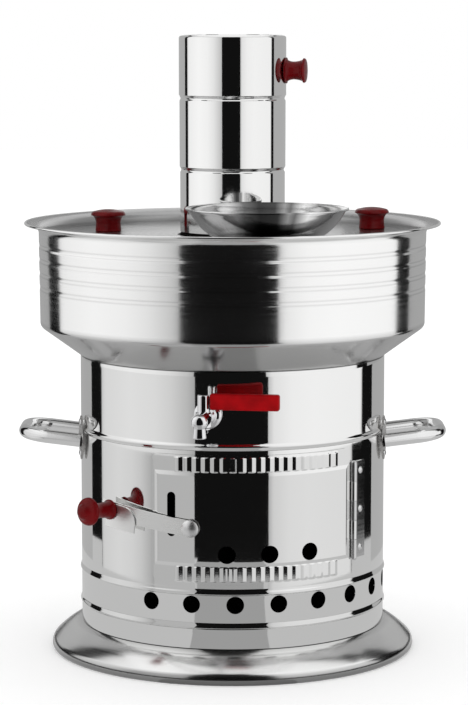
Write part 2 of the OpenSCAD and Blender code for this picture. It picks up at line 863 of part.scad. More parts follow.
module tap_plug() {
    color("lightgray") on_plug() difference() {
        union() {
            translate([0, 0, -boss_down]) cylinder(r = plug_r, h = boss_down + plug_up);
            translate([0, 0, -boss_down - 5]) cylinder(r = stem_r, h = 6);
        }
        rotate([0, 90, 0]) translate([0, 0, -10]) cylinder(r = bore_r, h = 20);
        translate([tongue_start, -tongue_t / 2 - seat, tongue_z - tongue_h / 2 - seat])
            cube([2 * plug_r, tongue_t + 2 * seat, tongue_h + 2 * seat]);
    }
}

module tap_plug_nut() {
    color("silver") on_plug() translate([0, 0, -boss_down - 4.2]) difference() {
        union() {
            cylinder(r = 4.6, h = 2.8, $fn = 6);
            translate([0, 0, 2.8]) cylinder(r = 5.6, h = 1);
        }
        translate([0, 0, -1]) cylinder(r = stem_r + seat, h = 7);
    }
}

module tap_lever() {
    color("silver") on_plug()
        translate([tongue_start + seat, -tongue_t / 2, tongue_z - tongue_h / 2])
            cube([plug_r + grip_len * 0.8, tongue_t, tongue_h]);
}

module tap_grip() {
    edge = 2.2;
    start = plug_r + grip_gap;
    color("red") on_plug() translate([start, 0, tongue_z]) difference() {
        rotate([90, 0, 90]) linear_extrude(grip_len) union() {
            square([grip_t - 2 * edge, grip_h], center = true);
            square([grip_t, grip_h - 2 * edge], center = true);
            for (x = [-1, 1], y = [-1, 1])
                translate([x * (grip_t / 2 - edge), y * (grip_h / 2 - edge)]) circle(r = edge);
        }
        translate([-1, -tongue_t / 2 - seat, -tongue_h / 2 - seat])
            cube([grip_len * 0.82, tongue_t + 2 * seat, tongue_h + 2 * seat]);
    }
}

// Side handles: a bent tube on two riveted plates
module handle_tube(r) {
    out = body_r + handle_out - handle_d / 2;
    arm = handle_span / 2;
    for (y = [-1, 1]) {
        translate([body_r - 20, y * arm, 0]) rotate([0, 90, 0])
            cylinder(r = r, h = out - handle_bend - body_r + 20);
        translate([out - handle_bend, y * (arm - handle_bend), 0])
            rotate([0, 0, y < 0 ? -90 : 0]) rotate_extrude(angle = 90)
                translate([handle_bend, 0]) circle(r = r);
    }
    translate([out, -(arm - handle_bend), 0]) rotate([-90, 0, 0])
        cylinder(r = r, h = 2 * (arm - handle_bend));
}

module handle() {
    color("gainsboro") difference() {
        translate([0, 0, handle_z]) difference() {
            handle_tube(handle_d / 2);
            handle_tube(handle_d / 2 - 1);
        }
        translate([0, 0, handle_z - 20]) cylinder(r = plate_r + plate_t + seat, h = 40);
    }
}

module handle_right() handle();

module handle_left() rotate([0, 0, 180]) handle();

module plate_places() {
    for (side = [90, -90], arm = [-arm_at, arm_at]) on_wall(side + arm, 0, plate_z) children();
}

module handle_plates() {
    lens_r = (plate_h * plate_h + plate_w * plate_w) / (4 * plate_w);
    color("gainsboro") difference() {
        intersection() {
            translate([0, 0, plate_z - plate_h]) difference() {
                cylinder(r = plate_r + plate_t, h = 2 * plate_h);
                translate([0, 0, -1]) cylinder(r = plate_r, h = 2 * plate_h + 2);
            }
            plate_places() intersection() {
                translate([lens_r - plate_w / 2, 0, 0]) cylinder(r = lens_r, h = plate_r + 10);
                translate([plate_w / 2 - lens_r, 0, 0]) cylinder(r = lens_r, h = plate_r + 10);
            }
        }
        lower_handle_rivet_places() cylinder(r = rivet_r + seat, h = 20, center = true);
        upper_handle_rivet_places() cylinder(r = rivet_r + seat, h = 20, center = true);
    }
}

module lower_handle_rivet_places() {
    for (side = [90, -90], arm = [-arm_at, arm_at])
        on_wall(side + arm, body_r, plate_z - plate_h * 0.35) children();
}

module upper_handle_rivet_places() {
    for (side = [90, -90], arm = [-arm_at, arm_at])
        on_wall(side + arm, body_r, plate_z + plate_h * 0.36) children();
}

module handle_rivets() {
    front = plate_r + plate_t + seat - body_r;
    color("silver") {
        lower_handle_rivet_places() rivet(-sheet_t - seat, front);
        upper_handle_rivet_places() rivet(-sheet_t - seat, front);
    }
}

base_skirt();
ash_floor();
firebox_shell();
grate_ledge();
fire_grate();
tank_shell();
tank_floor();
fire_tube();
basin();
lid();
lid_knob_left();
lid_knob_right();
lid_knob_screws();
teapot_dish();
chimney_pipe();
chimney_knob();
chimney_knob_screw();
fire_door();
hinge_leaf();
hinge_pin();
hinge_rivets();
latch_strap();
latch_catch();
latch_rivet();
latch_knob();
latch_knob_screw();
latch_keeper();
keeper_rivet();
tap_body();
tap_gasket_outer();
tap_gasket_inner();
tap_lock_nut();
tap_plug();
tap_plug_nut();
tap_lever();
tap_grip();
handle_left();
handle_right();
handle_plates();
handle_rivets();
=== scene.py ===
# A wood-fired stainless samovar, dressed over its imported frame. Lengths in the sections are in
# millimetres, and every mesh is scaled to metres as it is finished.
from math import asin, atan2, cos, degrees, pi, radians, sin, sqrt

import bmesh
import bpy
from mathutils import Matrix, Vector


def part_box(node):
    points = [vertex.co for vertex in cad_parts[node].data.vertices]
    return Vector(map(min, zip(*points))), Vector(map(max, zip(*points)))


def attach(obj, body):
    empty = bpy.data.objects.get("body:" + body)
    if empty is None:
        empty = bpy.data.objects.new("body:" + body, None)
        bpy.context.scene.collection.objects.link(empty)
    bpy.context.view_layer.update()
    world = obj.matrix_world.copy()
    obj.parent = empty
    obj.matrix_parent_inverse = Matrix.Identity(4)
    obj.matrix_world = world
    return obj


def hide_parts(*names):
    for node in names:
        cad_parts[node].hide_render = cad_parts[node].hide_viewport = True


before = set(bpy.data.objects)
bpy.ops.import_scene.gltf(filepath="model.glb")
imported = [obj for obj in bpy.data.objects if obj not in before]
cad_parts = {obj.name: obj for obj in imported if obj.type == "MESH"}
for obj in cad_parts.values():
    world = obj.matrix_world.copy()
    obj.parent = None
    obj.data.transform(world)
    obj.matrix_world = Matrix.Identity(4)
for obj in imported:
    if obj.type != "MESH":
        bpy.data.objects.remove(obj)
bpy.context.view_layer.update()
scene = bpy.context.scene
scene.view_settings.view_transform = "Standard"


# Camera
# A long lens two metres off, at the height of the chimney's rim and tipped down at the body, which
# is how the photograph was taken.
camera_pitch = 7.07
camera = bpy.data.objects.new("camera", bpy.data.cameras.new("camera"))
camera.data.lens = 132.77
camera.location = (0.0012, -2.127, 0.5075)
camera.rotation_euler = (radians(90 - camera_pitch), 0, 0)
scene.collection.objects.link(camera)
scene.camera = camera


# Studio
# A pale table in even white light, with a round light tent that only the metal sees: white cloth
# with a dark slit on each side, grey cloth behind them, and an open front where the camera looks in.
def fresh(name):
    """A new material and its node tree."""
    material = bpy.data.materials.new(name)
    material.use_nodes = True
    return material, material.node_tree


def glow(name, level):
    """A plain glowing material, for what only reflections see."""
    material, tree = fresh(name)
    tree.nodes.remove(tree.nodes["Principled BSDF"])
    light = tree.nodes.new("ShaderNodeEmission")
    light.inputs["Color"].default_value = (level, level, level, 1)
    tree.links.new(light.outputs[0], tree.nodes["Material Output"].inputs["Surface"])
    return material


def placed(tree):
    """The X, Y and Z of each point in the piece's own coordinates."""
    place = tree.nodes.new("ShaderNodeTexCoord")
    split = tree.nodes.new("ShaderNodeSeparateXYZ")
    tree.links.new(place.outputs["Object"], split.inputs[0])
    return split.outputs


def mapped(tree, value, low, high, start=0.3, end=0.7):
    """A value spread over a new range."""
    spread = tree.nodes.new("ShaderNodeMapRange")
    for socket, number in (("From Min", start), ("From Max", end), ("To Min", low), ("To Max", high)):
        spread.inputs[socket].default_value = number
    tree.links.new(value, spread.inputs["Value"])
    return spread.outputs["Result"]


def reckoned(tree, how, first, second):
    """The result of a reckoning with two values."""
    step = tree.nodes.new("ShaderNodeMath")
    step.operation = how
    tree.links.new(first, step.inputs[0])
    tree.links.new(second, step.inputs[1])
    return step.outputs[0]


def toned(tree, value, stops):
    """A grey tone for a value from 0 to 1, from (value, level) pairs."""
    tones = tree.nodes.new("ShaderNodeValToRGB")
    while len(tones.color_ramp.elements) < len(stops):
        tones.color_ramp.elements.new(0.5)
    for stop, (at, level) in zip(tones.color_ramp.elements, stops):
        stop.position, stop.color = at, (level, level, level, 1)
    tree.links.new(value, tones.inputs["Fac"])
    return tones.outputs["Color"]


def cloth(name, start, end, level, stops):
    """White cloth that is dimmer beside the open front and soft at the slit."""
    material = glow(name, level)
    tree = material.node_tree
    place = placed(tree)
    forward = mapped(tree, place["Y"], tent_r, -tent_r, -tent_r, tent_r)
    turn = reckoned(tree, "ARCTAN2", place["X"], forward)
    share = mapped(tree, turn, 0, 1, radians(start), radians(end))
    fall = toned(tree, share, [(at, part * level) for at, part in stops])
    tree.links.new(fall, tree.nodes["Emission"].inputs["Color"])
    return material


def built(name, bm):
    """Turns a bmesh into an object."""
    mesh = bpy.data.meshes.new(name)
    bm.to_mesh(mesh)
    bm.free()
    made = bpy.data.objects.new(name, mesh)
    scene.collection.objects.link(made)
    return made


def staged(name, bm, material, glossy_only=True):
    """Turns a bmesh in metres into a piece of the studio."""
    made = built(name, bm)
    made.data.materials.append(material)
    if glossy_only:
        made.visible_camera = made.visible_diffuse = made.visible_shadow = False
        made.visible_transmission = False
    return made


def around(radius, angle, z):
    """A point at an angle in degrees from the front, positive towards +X."""
    return radius * sin(radians(angle)), -radius * cos(radians(angle)), z


def tent_panel(start, end, low, high, material):
    """A curved cloth between two angles from the front."""
    bm = bmesh.new()
    foot = bm.verts.new(around(tent_r, start, low))
    head = bm.verts.new(around(tent_r, start, high))
    edge = bm.edges.new((foot, head))
    bmesh.ops.spin(bm, geom=[foot, head, edge], cent=(0, 0, 0), axis=(0, 0, 1),
                   angle=radians(end - start), steps=48)
    staged("tent_cloth", bm, material)


def disc(name, radius, height, material, start=0.0, end=360.0, glossy_only=True):
    """A flat disc, or a slice of one between two angles from the front."""
    bm = bmesh.new()
    rim = [around(radius, start + (end - start) * i / 96, height) for i in range(97)]
    corners = rim[:-1] if end - start == 360 else rim + [(0, 0, height)]
    bm.faces.new([bm.verts.new(corner) for corner in corners])
    return staged(name, bm, material, glossy_only)


tent_r, tent_top = 0.3, 0.7
left_fall = ((0, 0.5), (0.06, 0.64), (0.2, 0.84), (0.35, 0.95), (0.6, 1), (0.93, 0.92), (0.98, 0.8),
             (1, 0.1))
right_fall = ((0, 0.6), (0.05, 0.86), (0.2, 0.97), (0.4, 1), (0.95, 0.97), (0.98, 0.85), (1, 0.1))
# Each tier has its two heights, the front edge of the left and of the right cloth, the two edges of
# the left and of the right slit, and the levels of the left, the right and the grey cloth.
tent_tiers = (
    (0.033, 0.147, -48.5, 20.9, -96, -110.8, 83, 108, 0.76, 0.82, 0.46),
    (0.147, 0.23, -22, 20.9, -96, -110.8, 94, 108, 0.84, 1.0, 0.42),
    (0.23, 0.335, -22.6, 19.5, -96.5, -109.8, 87.5, 99.7, 0.96, 1.0, 0.38),
    (0.335, tent_top, -20.9, 15.6, -106, -115.5, 86.5, 93.5, 1.06, 1.02, 0.46))
for low, high, left, right, slit_a, slit_b, slit_c, slit_d, white_left, white_right, grey in tent_tiers:
    tent_panel(left, slit_a, low, high, cloth("tent_left", left, slit_a, white_left, left_fall))
    tent_panel(slit_b, -160, low, high, glow("tent_grey", grey))
    tent_panel(right, slit_c, low, high, cloth("tent_right", right, slit_c, white_right, right_fall))
    tent_panel(slit_d, 160, low, high, glow("tent_grey", grey))
    tent_panel(160, 200, low, high, glow("tent_back", white_left))
tent_panel(-22, -48.5, 0.033, 0.147, glow("tent_shade", 0.5))
disc("tent_roof", tent_r, tent_top + 0.04, glow("tent_roof", 1.0))
disc("table_seen_in_metal", 0.576, 0, glow("table_seen", 0.57), 20, 337)
disc("table_seen_in_front", 0.51, 0, glow("table_in_front", 0.37), -23, 20)

table, table_tree = fresh("table")
table_shader = table_tree.nodes["Principled BSDF"]
table_shader.inputs["Base Color"].default_value = (0.94, 0.94, 0.94, 1)
table_shader.inputs["Roughness"].default_value = 1
table_shader.inputs["Specular IOR Level"].default_value = 0
floor = disc("floor", 9, 0, table, glossy_only=False)
floor.visible_glossy = False
lift = table_tree.nodes.new("ShaderNodeEmission")
lift.inputs["Strength"].default_value = 0.18
both = table_tree.nodes.new("ShaderNodeAddShader")
table_tree.links.new(table_shader.outputs[0], both.inputs[0])
table_tree.links.new(lift.outputs[0], both.inputs[1])
table_tree.links.new(both.outputs[0], table_tree.nodes["Material Output"].inputs[0])

world = bpy.data.worlds.new("studio")
scene.world = world
world.use_nodes = True
world_nodes, world_links = world.node_tree.nodes, world.node_tree.links
path = world_nodes.new("ShaderNodeLightPath")
dark_room = world_nodes.new("ShaderNodeMix")
dark_room.data_type = "RGBA"
dark_room.inputs["A"].default_value = (1, 1, 1, 1)
dark_room.inputs["B"].default_value = (0.006, 0.006, 0.006, 1)
world_links.new(path.outputs["Is Glossy Ray"], dark_room.inputs["Factor"])
world_links.new(dark_room.outputs["Result"], world_nodes["Background"].inputs["Color"])
world_nodes["Background"].inputs["Strength"].default_value = 1


# Foot
# A flared skirt of polished stainless sheet, spun on a lathe, with its lower edge rolled round a
# wire so that it stands on a smooth ring. Its top slides up inside the firebox.
body_r = 125.0
sheet_t = 0.8
foot_h = 23.5
foot_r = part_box("base_skirt")[1].x * 1000
foot_wire_r = 4.0
foot_flat = 0.5
turns = 240


def grained(tree, place, scale, detail):
    """Noise at a place."""
    noise = tree.nodes.new("ShaderNodeTexNoise")
    noise.inputs["Scale"].default_value = scale
    noise.inputs["Detail"].default_value = detail
    tree.links.new(place, noise.inputs["Vector"])
    return noise.outputs["Fac"]


def blotches(tree, scale, detail):
    """Soft noise in all directions, for hand marks and for the sheet's slight waviness."""
    return grained(tree, tree.nodes.new("ShaderNodeTexCoord").outputs["Object"], scale, detail)


def ring_noise(tree, scale, detail):
    """Noise that runs in rings round the upright axis, as polishing on a lathe leaves it."""
    place = placed(tree)
    flat = tree.nodes.new("ShaderNodeCombineXYZ")
    reach = tree.nodes.new("ShaderNodeVectorMath")
    reach.operation = "LENGTH"
    ring = tree.nodes.new("ShaderNodeCombineXYZ")
    tree.links.new(place["X"], flat.inputs["X"])
    tree.links.new(place["Y"], flat.inputs["Y"])
    tree.links.new(flat.outputs[0], reach.inputs[0])
    tree.links.new(reach.outputs["Value"], ring.inputs["X"])
    tree.links.new(place["Z"], ring.inputs["Y"])
    return grained(tree, ring.outputs[0], scale, detail)


def shaded(tree, levels):
    """A tone that changes with height, for painted shade: (height in mm, level) pairs."""
    low, high = levels[0][0], levels[-1][0]
    share = mapped(tree, placed(tree)["Z"], 0, 1, low / 1000, high / 1000)
    return toned(tree, share, [((height - low) / (high - low), level) for height, level in levels])


def darkened(tree, tone):
    """Multiplies a metal's colour by a tone, which carries painted shade or a painted reflection."""
    colour = tree.nodes["Principled BSDF"].inputs["Base Color"]
    both = tree.nodes.new("ShaderNodeMix")
    both.data_type, both.blend_type = "RGBA", "MULTIPLY"
    both.inputs["Factor"].default_value = 1
    both.inputs["A"].default_value = colour.default_value
    if colour.links:
        tree.links.new(colour.links[0].from_socket, both.inputs["A"])
    tree.links.new(tone, both.inputs["B"])
    tree.links.new(both.outputs["Result"], colour)


def steel(name, colour, rough_low, rough_high, wave_mm=0.05, line_mm=0.0012, levels=None):
    """Stainless steel: rings left by the polishing wheel, hand marks, a slight waviness, and painted shade by
    height where levels are given.
    """
    material, tree = fresh(name)
    shader = tree.nodes["Principled BSDF"]
    shader.inputs["Base Color"].default_value = (*colour, 1)
    shader.inputs["Metallic"].default_value = 1
    if levels:
        darkened(tree, shaded(tree, levels))
    marks = mapped(tree, blotches(tree, 17, 5), 0, rough_high - rough_low)
    rings = mapped(tree, ring_noise(tree, 700, 3), rough_low, rough_high)
    tree.links.new(reckoned(tree, "ADD", marks, rings), shader.inputs["Roughness"])
    wave = mapped(tree, blotches(tree, 11, 1), 0, wave_mm / 1000)
    lines = mapped(tree, ring_noise(tree, 900, 2), 0, line_mm / 1000)
    bump = tree.nodes.new("ShaderNodeBump")
    bump.inputs["Distance"].default_value = 1
    tree.links.new(reckoned(tree, "ADD", wave, lines), bump.inputs["Height"])
    tree.links.new(bump.outputs[0], shader.inputs["Normal"])
    return material


mirror_steel = steel("mirror_steel", (0.86, 0.86, 0.855), 0.02, 0.05)


def bend(start, pull, end, steps=16):
    """Points along a smooth bend from start to end, drawn towards pull."""
    return [tuple((1 - t) ** 2 * a + 2 * t * (1 - t) * b + t * t * c for a, b, c in zip(start, pull, end))
            for t in (i / steps for i in range(steps + 1))]


def arc(centre, radius, start, end, steps=8):
    """Points along an arc between two angles in degrees."""
    return [(centre[0] + radius * cos(radians(a)), centre[1] + radius * sin(radians(a)))
            for a in (start + (end - start) * i / steps for i in range(steps + 1))]


def outwards(bm):
    """More than 0 where a mesh's faces look away from the upright axis."""
    return sum(face.calc_area() * face.normal.xy.dot(face.calc_center_median().xy) for face in bm.faces)


def spun(outline, closed=False, steps=turns):
    """Spins an outline of (radius, height) points round the upright axis."""
    bm = bmesh.new()
    points = [bm.verts.new((r, 0, z)) for r, z in outline]
    pairs = list(zip(points, points[1:])) + ([(points[-1], points[0])] if closed else [])
    edges = [bm.edges.new(pair) for pair in pairs]
    bmesh.ops.spin(bm, geom=points + edges, cent=(0, 0, 0), axis=(0, 0, 1), angle=2 * pi,
                   steps=steps, use_merge=True)
    bmesh.ops.remove_doubles(bm, verts=bm.verts, dist=0.001)
    bmesh.ops.recalc_face_normals(bm, faces=bm.faces)
    if not closed and outwards(bm) < 0:
        bmesh.ops.reverse_faces(bm, faces=bm.faces)
    return bm


def piece(name, bm, material, body, nodes=(), place=None):
    """Finishes a mesh drawn in millimetres as a piece that rides on a body."""
    if place is not None:
        bmesh.ops.transform(bm, matrix=place, verts=bm.verts)
    bmesh.ops.scale(bm, vec=(0.001, 0.001, 0.001), verts=bm.verts)
    made = built(name, bm)
    made.data.materials.append(material)
    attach(made, body)
    if nodes:
        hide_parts(*nodes)
    return made


def thickened(made, lining=None, thickness=sheet_t):
    """Gives a bent sheet its thickness inwards, and its inner side another finish if there is one."""
    wall = made.modifiers.new("thickness", "SOLIDIFY")
    wall.thickness = thickness / 1000
    wall.offset = -1
    wall.use_even_offset = True
    if lining:
        made.data.materials.append(lining)
        wall.material_offset = 1


def baked(made):
    """Turns a piece's modifiers into plain mesh."""
    bpy.context.view_layer.update()
    shape = made.evaluated_get(bpy.context.evaluated_depsgraph_get())
    mesh = bpy.data.meshes.new_from_object(shape)
    made.modifiers.clear()
    made.data = mesh


def smoothed(made, crease=30):
    """Shades a piece smooth, but for edges sharper than the crease."""
    bm = bmesh.new()
    bm.from_mesh(made.data)
    for face in bm.faces:
        face.smooth = True
    for edge in bm.edges:
        edge.smooth = edge.calc_face_angle(0) < radians(crease)
    bm.to_mesh(made.data)
    bm.free()
    evened = made.modifiers.new("evened", "WEIGHTED_NORMAL")
    evened.keep_sharp = True
    evened.weight = 60


wire_centre = (foot_r - foot_wire_r, foot_wire_r - foot_flat)
collar_r = body_r - sheet_t - 0.1
bead_h = 4.4
floor_bead_z = 41.5
foot_round = 8.0
# The foot is darker towards the floor and at its top under the firebox: painted shade where it meets the
# table and tucks under the wall.
satin_steel = steel("satin_steel", (0.86, 0.86, 0.855), 0.13, 0.19, 0.05, 0.001,
                    ((0, 0.3), (3.5, 0.4), (6.5, 0.75), (9, 1), (21, 1), (24, 0.75)))
flat_at = degrees(asin((foot_flat - foot_wire_r) / foot_wire_r))
roll_top = arc((foot_r - foot_round, wire_centre[1]), foot_round, 0, 47, 10)
flare = bend(roll_top[-1], (body_r + 10, foot_h - 2.6), (collar_r, foot_h), 28)
collar_top = floor_bead_z - bead_h / 2
under = [(r - 0.55, z - 0.6) for r, z in flare[3:-2]]
outline = ([(collar_r - sheet_t, collar_top), (collar_r, collar_top), (collar_r, foot_h + 0.5)]
           + flare[::-1] + roll_top[::-1][1:] + arc(wire_centre, foot_wire_r, 0, flat_at, 8)[1:]
           + arc(wire_centre, foot_wire_r, -180 - flat_at, -262, 12) + under
           + [(collar_r - sheet_t, foot_h - 0.4)])
foot = piece("foot", spun(outline, closed=True), satin_steel, "samovar", ["base_skirt"])
smoothed(foot)


# Firebox wall
# One tube of polished sheet with two pressed beads. The lower bead holds the ash floor, and the
# upper one the grate. Between them air holes are punched, and above is the door's opening.
bead_out = 1.1
grate_bead_z = 68.5
seam_z = 184.5
seam_h = bead_h + 1.6
seat = 0.1
vent_d, vent_count, vent_pitch, vent_first = 14.0, 18, 16.0, -31.0
vent_z = grate_bead_z - 9.5
punch_in, punch_len = 5.0, 12.0


def bead(radius, z, out, height, steps=16):
    """The outline of a bead pressed outwards, or of a groove where out is negative."""
    return [(radius + out * (1 - cos(2 * pi * t)) / 2, z + height * (t - 0.5))
            for t in (i / steps for i in range(steps + 1))]


def ridge(radius, crest, out, drop=1.3, fall=4.4, steps=14):
    """The outline of a bead with a long slope above its crest and a short turn below."""
    turn = [(radius + out * (1 - cos(pi * t)) / 2, crest - drop * (1 - t)) for t in
            (i / 6 for i in range(7))]
    slope = [(radius + out * (1 + cos(pi * t)) / 2, crest + fall * t) for t in
             (i / steps for i in range(1, steps + 1))]
    return turn + slope


def straight(start, end, steps=6):
    """Points along a straight stretch, without its ends."""
    return [tuple(a + (b - a) * i / steps for a, b in zip(start, end)) for i in range(1, steps)]


def towards(angle, radius, z):
    """A place on the wall, where +Z of what stands there points outwards."""
    return (Matrix.Rotation(radians(angle), 4, "Z") @ Matrix.Translation((0, -radius, z))
            @ Matrix.Rotation(radians(90), 4, "X"))


def rod(radius, length, place, segments=64):
    """A cutting tool: a round rod from its place along its own +Z."""
    bm = bmesh.new()
    bmesh.ops.create_cone(bm, cap_ends=True, segments=segments, radius1=radius, radius2=radius,
                          depth=length, matrix=place @ Matrix.Translation((0, 0, length / 2)))
    return bm


def rounded(bm, edges, width, segments):
    """Rounds edges of a mesh."""
    bmesh.ops.bevel(bm, geom=edges, offset=width, affect="EDGES", segments=segments, profile=0.5,
                    material=-1)


def block(width, height, length, place, corner=0.0):
    """A cutting tool: a bar with round corners, from its place along its own +Z."""
    bm = bmesh.new()
    bmesh.ops.create_cube(bm, size=1, matrix=Matrix.Diagonal((width, height, length, 1)))
    if corner:
        upright = [e for e in bm.edges if abs((e.verts[0].co - e.verts[1].co).z) > length / 2]
        rounded(bm, upright, corner, 10)
    bmesh.ops.transform(bm, matrix=place @ Matrix.Translation((0, 0, length / 2)), verts=bm.verts)
    return bm


def cut(made, tools, how="DIFFERENCE"):
    """Cuts a piece with tools drawn in millimetres."""
    for tool in tools:
        bmesh.ops.scale(tool, vec=(0.001, 0.001, 0.001), verts=tool.verts)
        bmesh.ops.recalc_face_normals(tool, faces=tool.faces)
        cutter = built("tool", tool)
        punch = made.modifiers.new("punch", "BOOLEAN")
        punch.object = cutter
        punch.operation = how
        punch.solver = "EXACT"
        baked(made)
        bpy.data.objects.remove(cutter)


def lacquer(name, colour, rough, coat=0.0, shine=0.3):
    """A coloured coat with a slightly uneven tone and small scuffs."""
    material, tree = fresh(name)
    shader = tree.nodes["Principled BSDF"]
    tone = tree.nodes.new("ShaderNodeMix")
    tone.data_type = "RGBA"
    tone.inputs["A"].default_value = (*(c * 0.8 for c in colour), 1)
    tone.inputs["B"].default_value = (*(min(1, c * 1.2) for c in colour), 1)
    tree.links.new(mapped(tree, blotches(tree, 90, 3), 0, 1), tone.inputs["Factor"])
    tree.links.new(tone.outputs["Result"], shader.inputs["Base Color"])
    tree.links.new(mapped(tree, blotches(tree, 400, 4), rough, rough + 0.1), shader.inputs["Roughness"])
    shader.inputs["Specular IOR Level"].default_value = shine
    shader.inputs["Coat Weight"].default_value = coat
    shader.inputs["Coat Roughness"].default_value = 0.05
    return material


outline = ([(body_r, foot_h + 0.3)]
           + straight((body_r, foot_h + 0.3), (body_r, collar_top - 0.3), 4)
           + ridge(body_r, floor_bead_z - 1.2, bead_out)
           + straight((body_r, floor_bead_z + 3.3), (body_r, grate_bead_z - 2.6))
           + ridge(body_r, grate_bead_z - 1.1, bead_out)
           + straight((body_r, grate_bead_z + 3.4), (body_r, seam_z - seam_h / 2), 24)
           + [(body_r, seam_z - seam_h / 2 - seat)])
firebox = piece("firebox_wall", spun(outline), mirror_steel, "samovar", ["firebox_shell"])
soot = lacquer("soot", (0.006, 0.0055, 0.005), 0.9, 0.0, 0.05)
thickened(firebox, soot)
door_left, hinge_at, hinge_clear = -30.2, 49.5, 3.2
door_r = body_r + 0.4
door_right = hinge_at - degrees(hinge_clear / door_r)
door_low, door_high, door_lap, door_corner, opening_corner = 76.0, 178.0, 6.8, 5.0, 8.0
opening_half = (door_right - door_left) / 2 - degrees(door_lap / body_r)
opening_middle = (door_left + door_right) / 2
door_middle = (door_low + door_high) / 2
vents = [rod(vent_d / 2, punch_len, towards(vent_first + i * vent_pitch, body_r - punch_in, vent_z), 40)
         for i in range(vent_count)]
cut(firebox, [block(2 * body_r * sin(radians(opening_half)), door_high - door_low - 2 * door_lap,
                    body_r / 2, towards(opening_middle, body_r / 2, door_middle), opening_corner)]
    + vents)
smoothed(firebox)


# Tank
# The straight part of the water tank, one tube of the same sheet. A rounded seam joins it to the
# firebox, and the basin's collar fits inside its top.
basin_z = 243.5
outline = (bead(body_r, seam_z, bead_out + 0.2, seam_h)
           + straight((body_r, seam_z + seam_h / 2), (body_r, basin_z), 12) + [(body_r, basin_z - 0.3)])
tank = piece("tank_wall", spun(outline), mirror_steel, "samovar", ["tank_shell"])
thickened(tank)
smoothed(tank)


# Basin
# The wide upper part of the tank: a cone that swells from the tube, a round shoulder, a wall with
# four grooves rolled in to stiffen it, and a flared lip. It is brushed outside and dull inside.
wall_z, lip_z, lip_h, lip_out = 269.0, 344.0, 8.0, 11.7
basin_r, basin_taper = 158.5, 0.8
wall_low_r = basin_r - basin_taper
groove_count, groove_pitch, groove_h = 4, 11.3, 6.0
groove_top_z = lip_z - 10.6
rib_deep = 0.38
# Painted shade: the cone and shoulder darken towards the tank, each rolled groove gets two dark lines, and
# the lip darkens towards its edge.
painted_basin_shade = [(basin_z, 0.5), (265, 0.58), (269, 0.7), (273, 1)]
for i in reversed(range(groove_count)):
    middle = groove_top_z - i * groove_pitch
    painted_basin_shade += [(middle - 2.6, 1), (middle - 1.5, 0.8), (middle - 0.6, 1), (middle + 0.6, 1),
                  (middle + 1.5, 0.8), (middle + 2.6, 1)]
painted_basin_shade += [(lip_z, 1), (lip_z + lip_h, 0.8)]
brushed_steel = steel("brushed_steel", (0.93, 0.93, 0.925), 0.08, 0.15, 0.05, 0.003, painted_basin_shade)
shoulder_r = 5.0
slope = degrees(atan2(wall_z - basin_z - 1, wall_low_r - collar_r))
shoulder = (wall_low_r - shoulder_r, wall_z + 1.5)


def wall_r(z):
    """The basin wall's radius, which grows a little towards the lip."""
    return wall_low_r + basin_taper * (z - wall_z) / (lip_z - wall_z)


grooves = []
for i in reversed(range(groove_count)):
    z = groove_top_z - i * groove_pitch
    grooves += bead(wall_r(z), z, -rib_deep, groove_h, 12)
shoulder_points = arc(shoulder, shoulder_r, slope - 90, 0, 8)
lip_tip = (basin_r + lip_out - 1, lip_z + lip_h - 0.6)
collar_h = 6.0
outline = ([(collar_r, basin_z - collar_h), (collar_r, basin_z)]
           + straight((collar_r, basin_z), shoulder_points[0], 6) + shoulder_points
           + straight(shoulder_points[-1], grooves[0], 8) + grooves
           + straight(grooves[-1], (basin_r, lip_z), 5)
           + bend((basin_r, lip_z), (basin_r + 1, lip_z + lip_h * 0.85), lip_tip))
basin = piece("basin", spun(outline), brushed_steel, "samovar", ["basin"])
inner_steel = steel("inner_steel", (0.42, 0.42, 0.42), 0.2, 0.3, 0.05, 0.001)
thickened(basin, inner_steel)
smoothed(basin)
lip_roll_r = 1.05
lip_roll = piece("basin_lip_roll", spun(arc(lip_tip, lip_roll_r, 0, 345, 15), closed=True), mirror_steel,
                 "samovar")
smoothed(lip_roll)


# Lid
# A flat disc with a short skirt that drops inside the basin, and a hole for the chimney with its
# edge turned down. It is plain sheet, duller than the walls.
lid_z = 342.0
lid_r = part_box("lid")[1].x * 1000
lid_hole_r = 45.0
lid_low = groove_top_z + groove_h / 2 - 0.6
outline = ([(lid_r, lid_low)] + straight((lid_r, lid_low), (lid_r, lid_z - 2), 3)
           + arc((lid_r - 2, lid_z - 2), 2, 0, 90, 6)
           + straight((lid_r - 2, lid_z), (lid_hole_r + 1, lid_z), 12)
           + arc((lid_hole_r + 1, lid_z - 1), 1, 90, 180, 5) + [(lid_hole_r, lid_z - 3)])
dull_steel = steel("dull_steel", (0.5, 0.5, 0.5), 0.12, 0.22, 0.06, 0.001)
dull_steel.node_tree.nodes["Principled BSDF"].inputs["Specular Tint"].default_value = (0.75, 0.75, 0.75, 1)
lid = piece("lid", spun(outline), dull_steel, "lid", ["lid"])
thickened(lid)
smoothed(lid)


# Knobs
# Turned knobs in dark red lacquer: two on the lid, one on the chimney and one on the latch. Each is
# held by a screw from behind.
knob_red = lacquer("knob_red", (0.125, 0.0006, 0.002), 0.25, 0.1, 0.1)


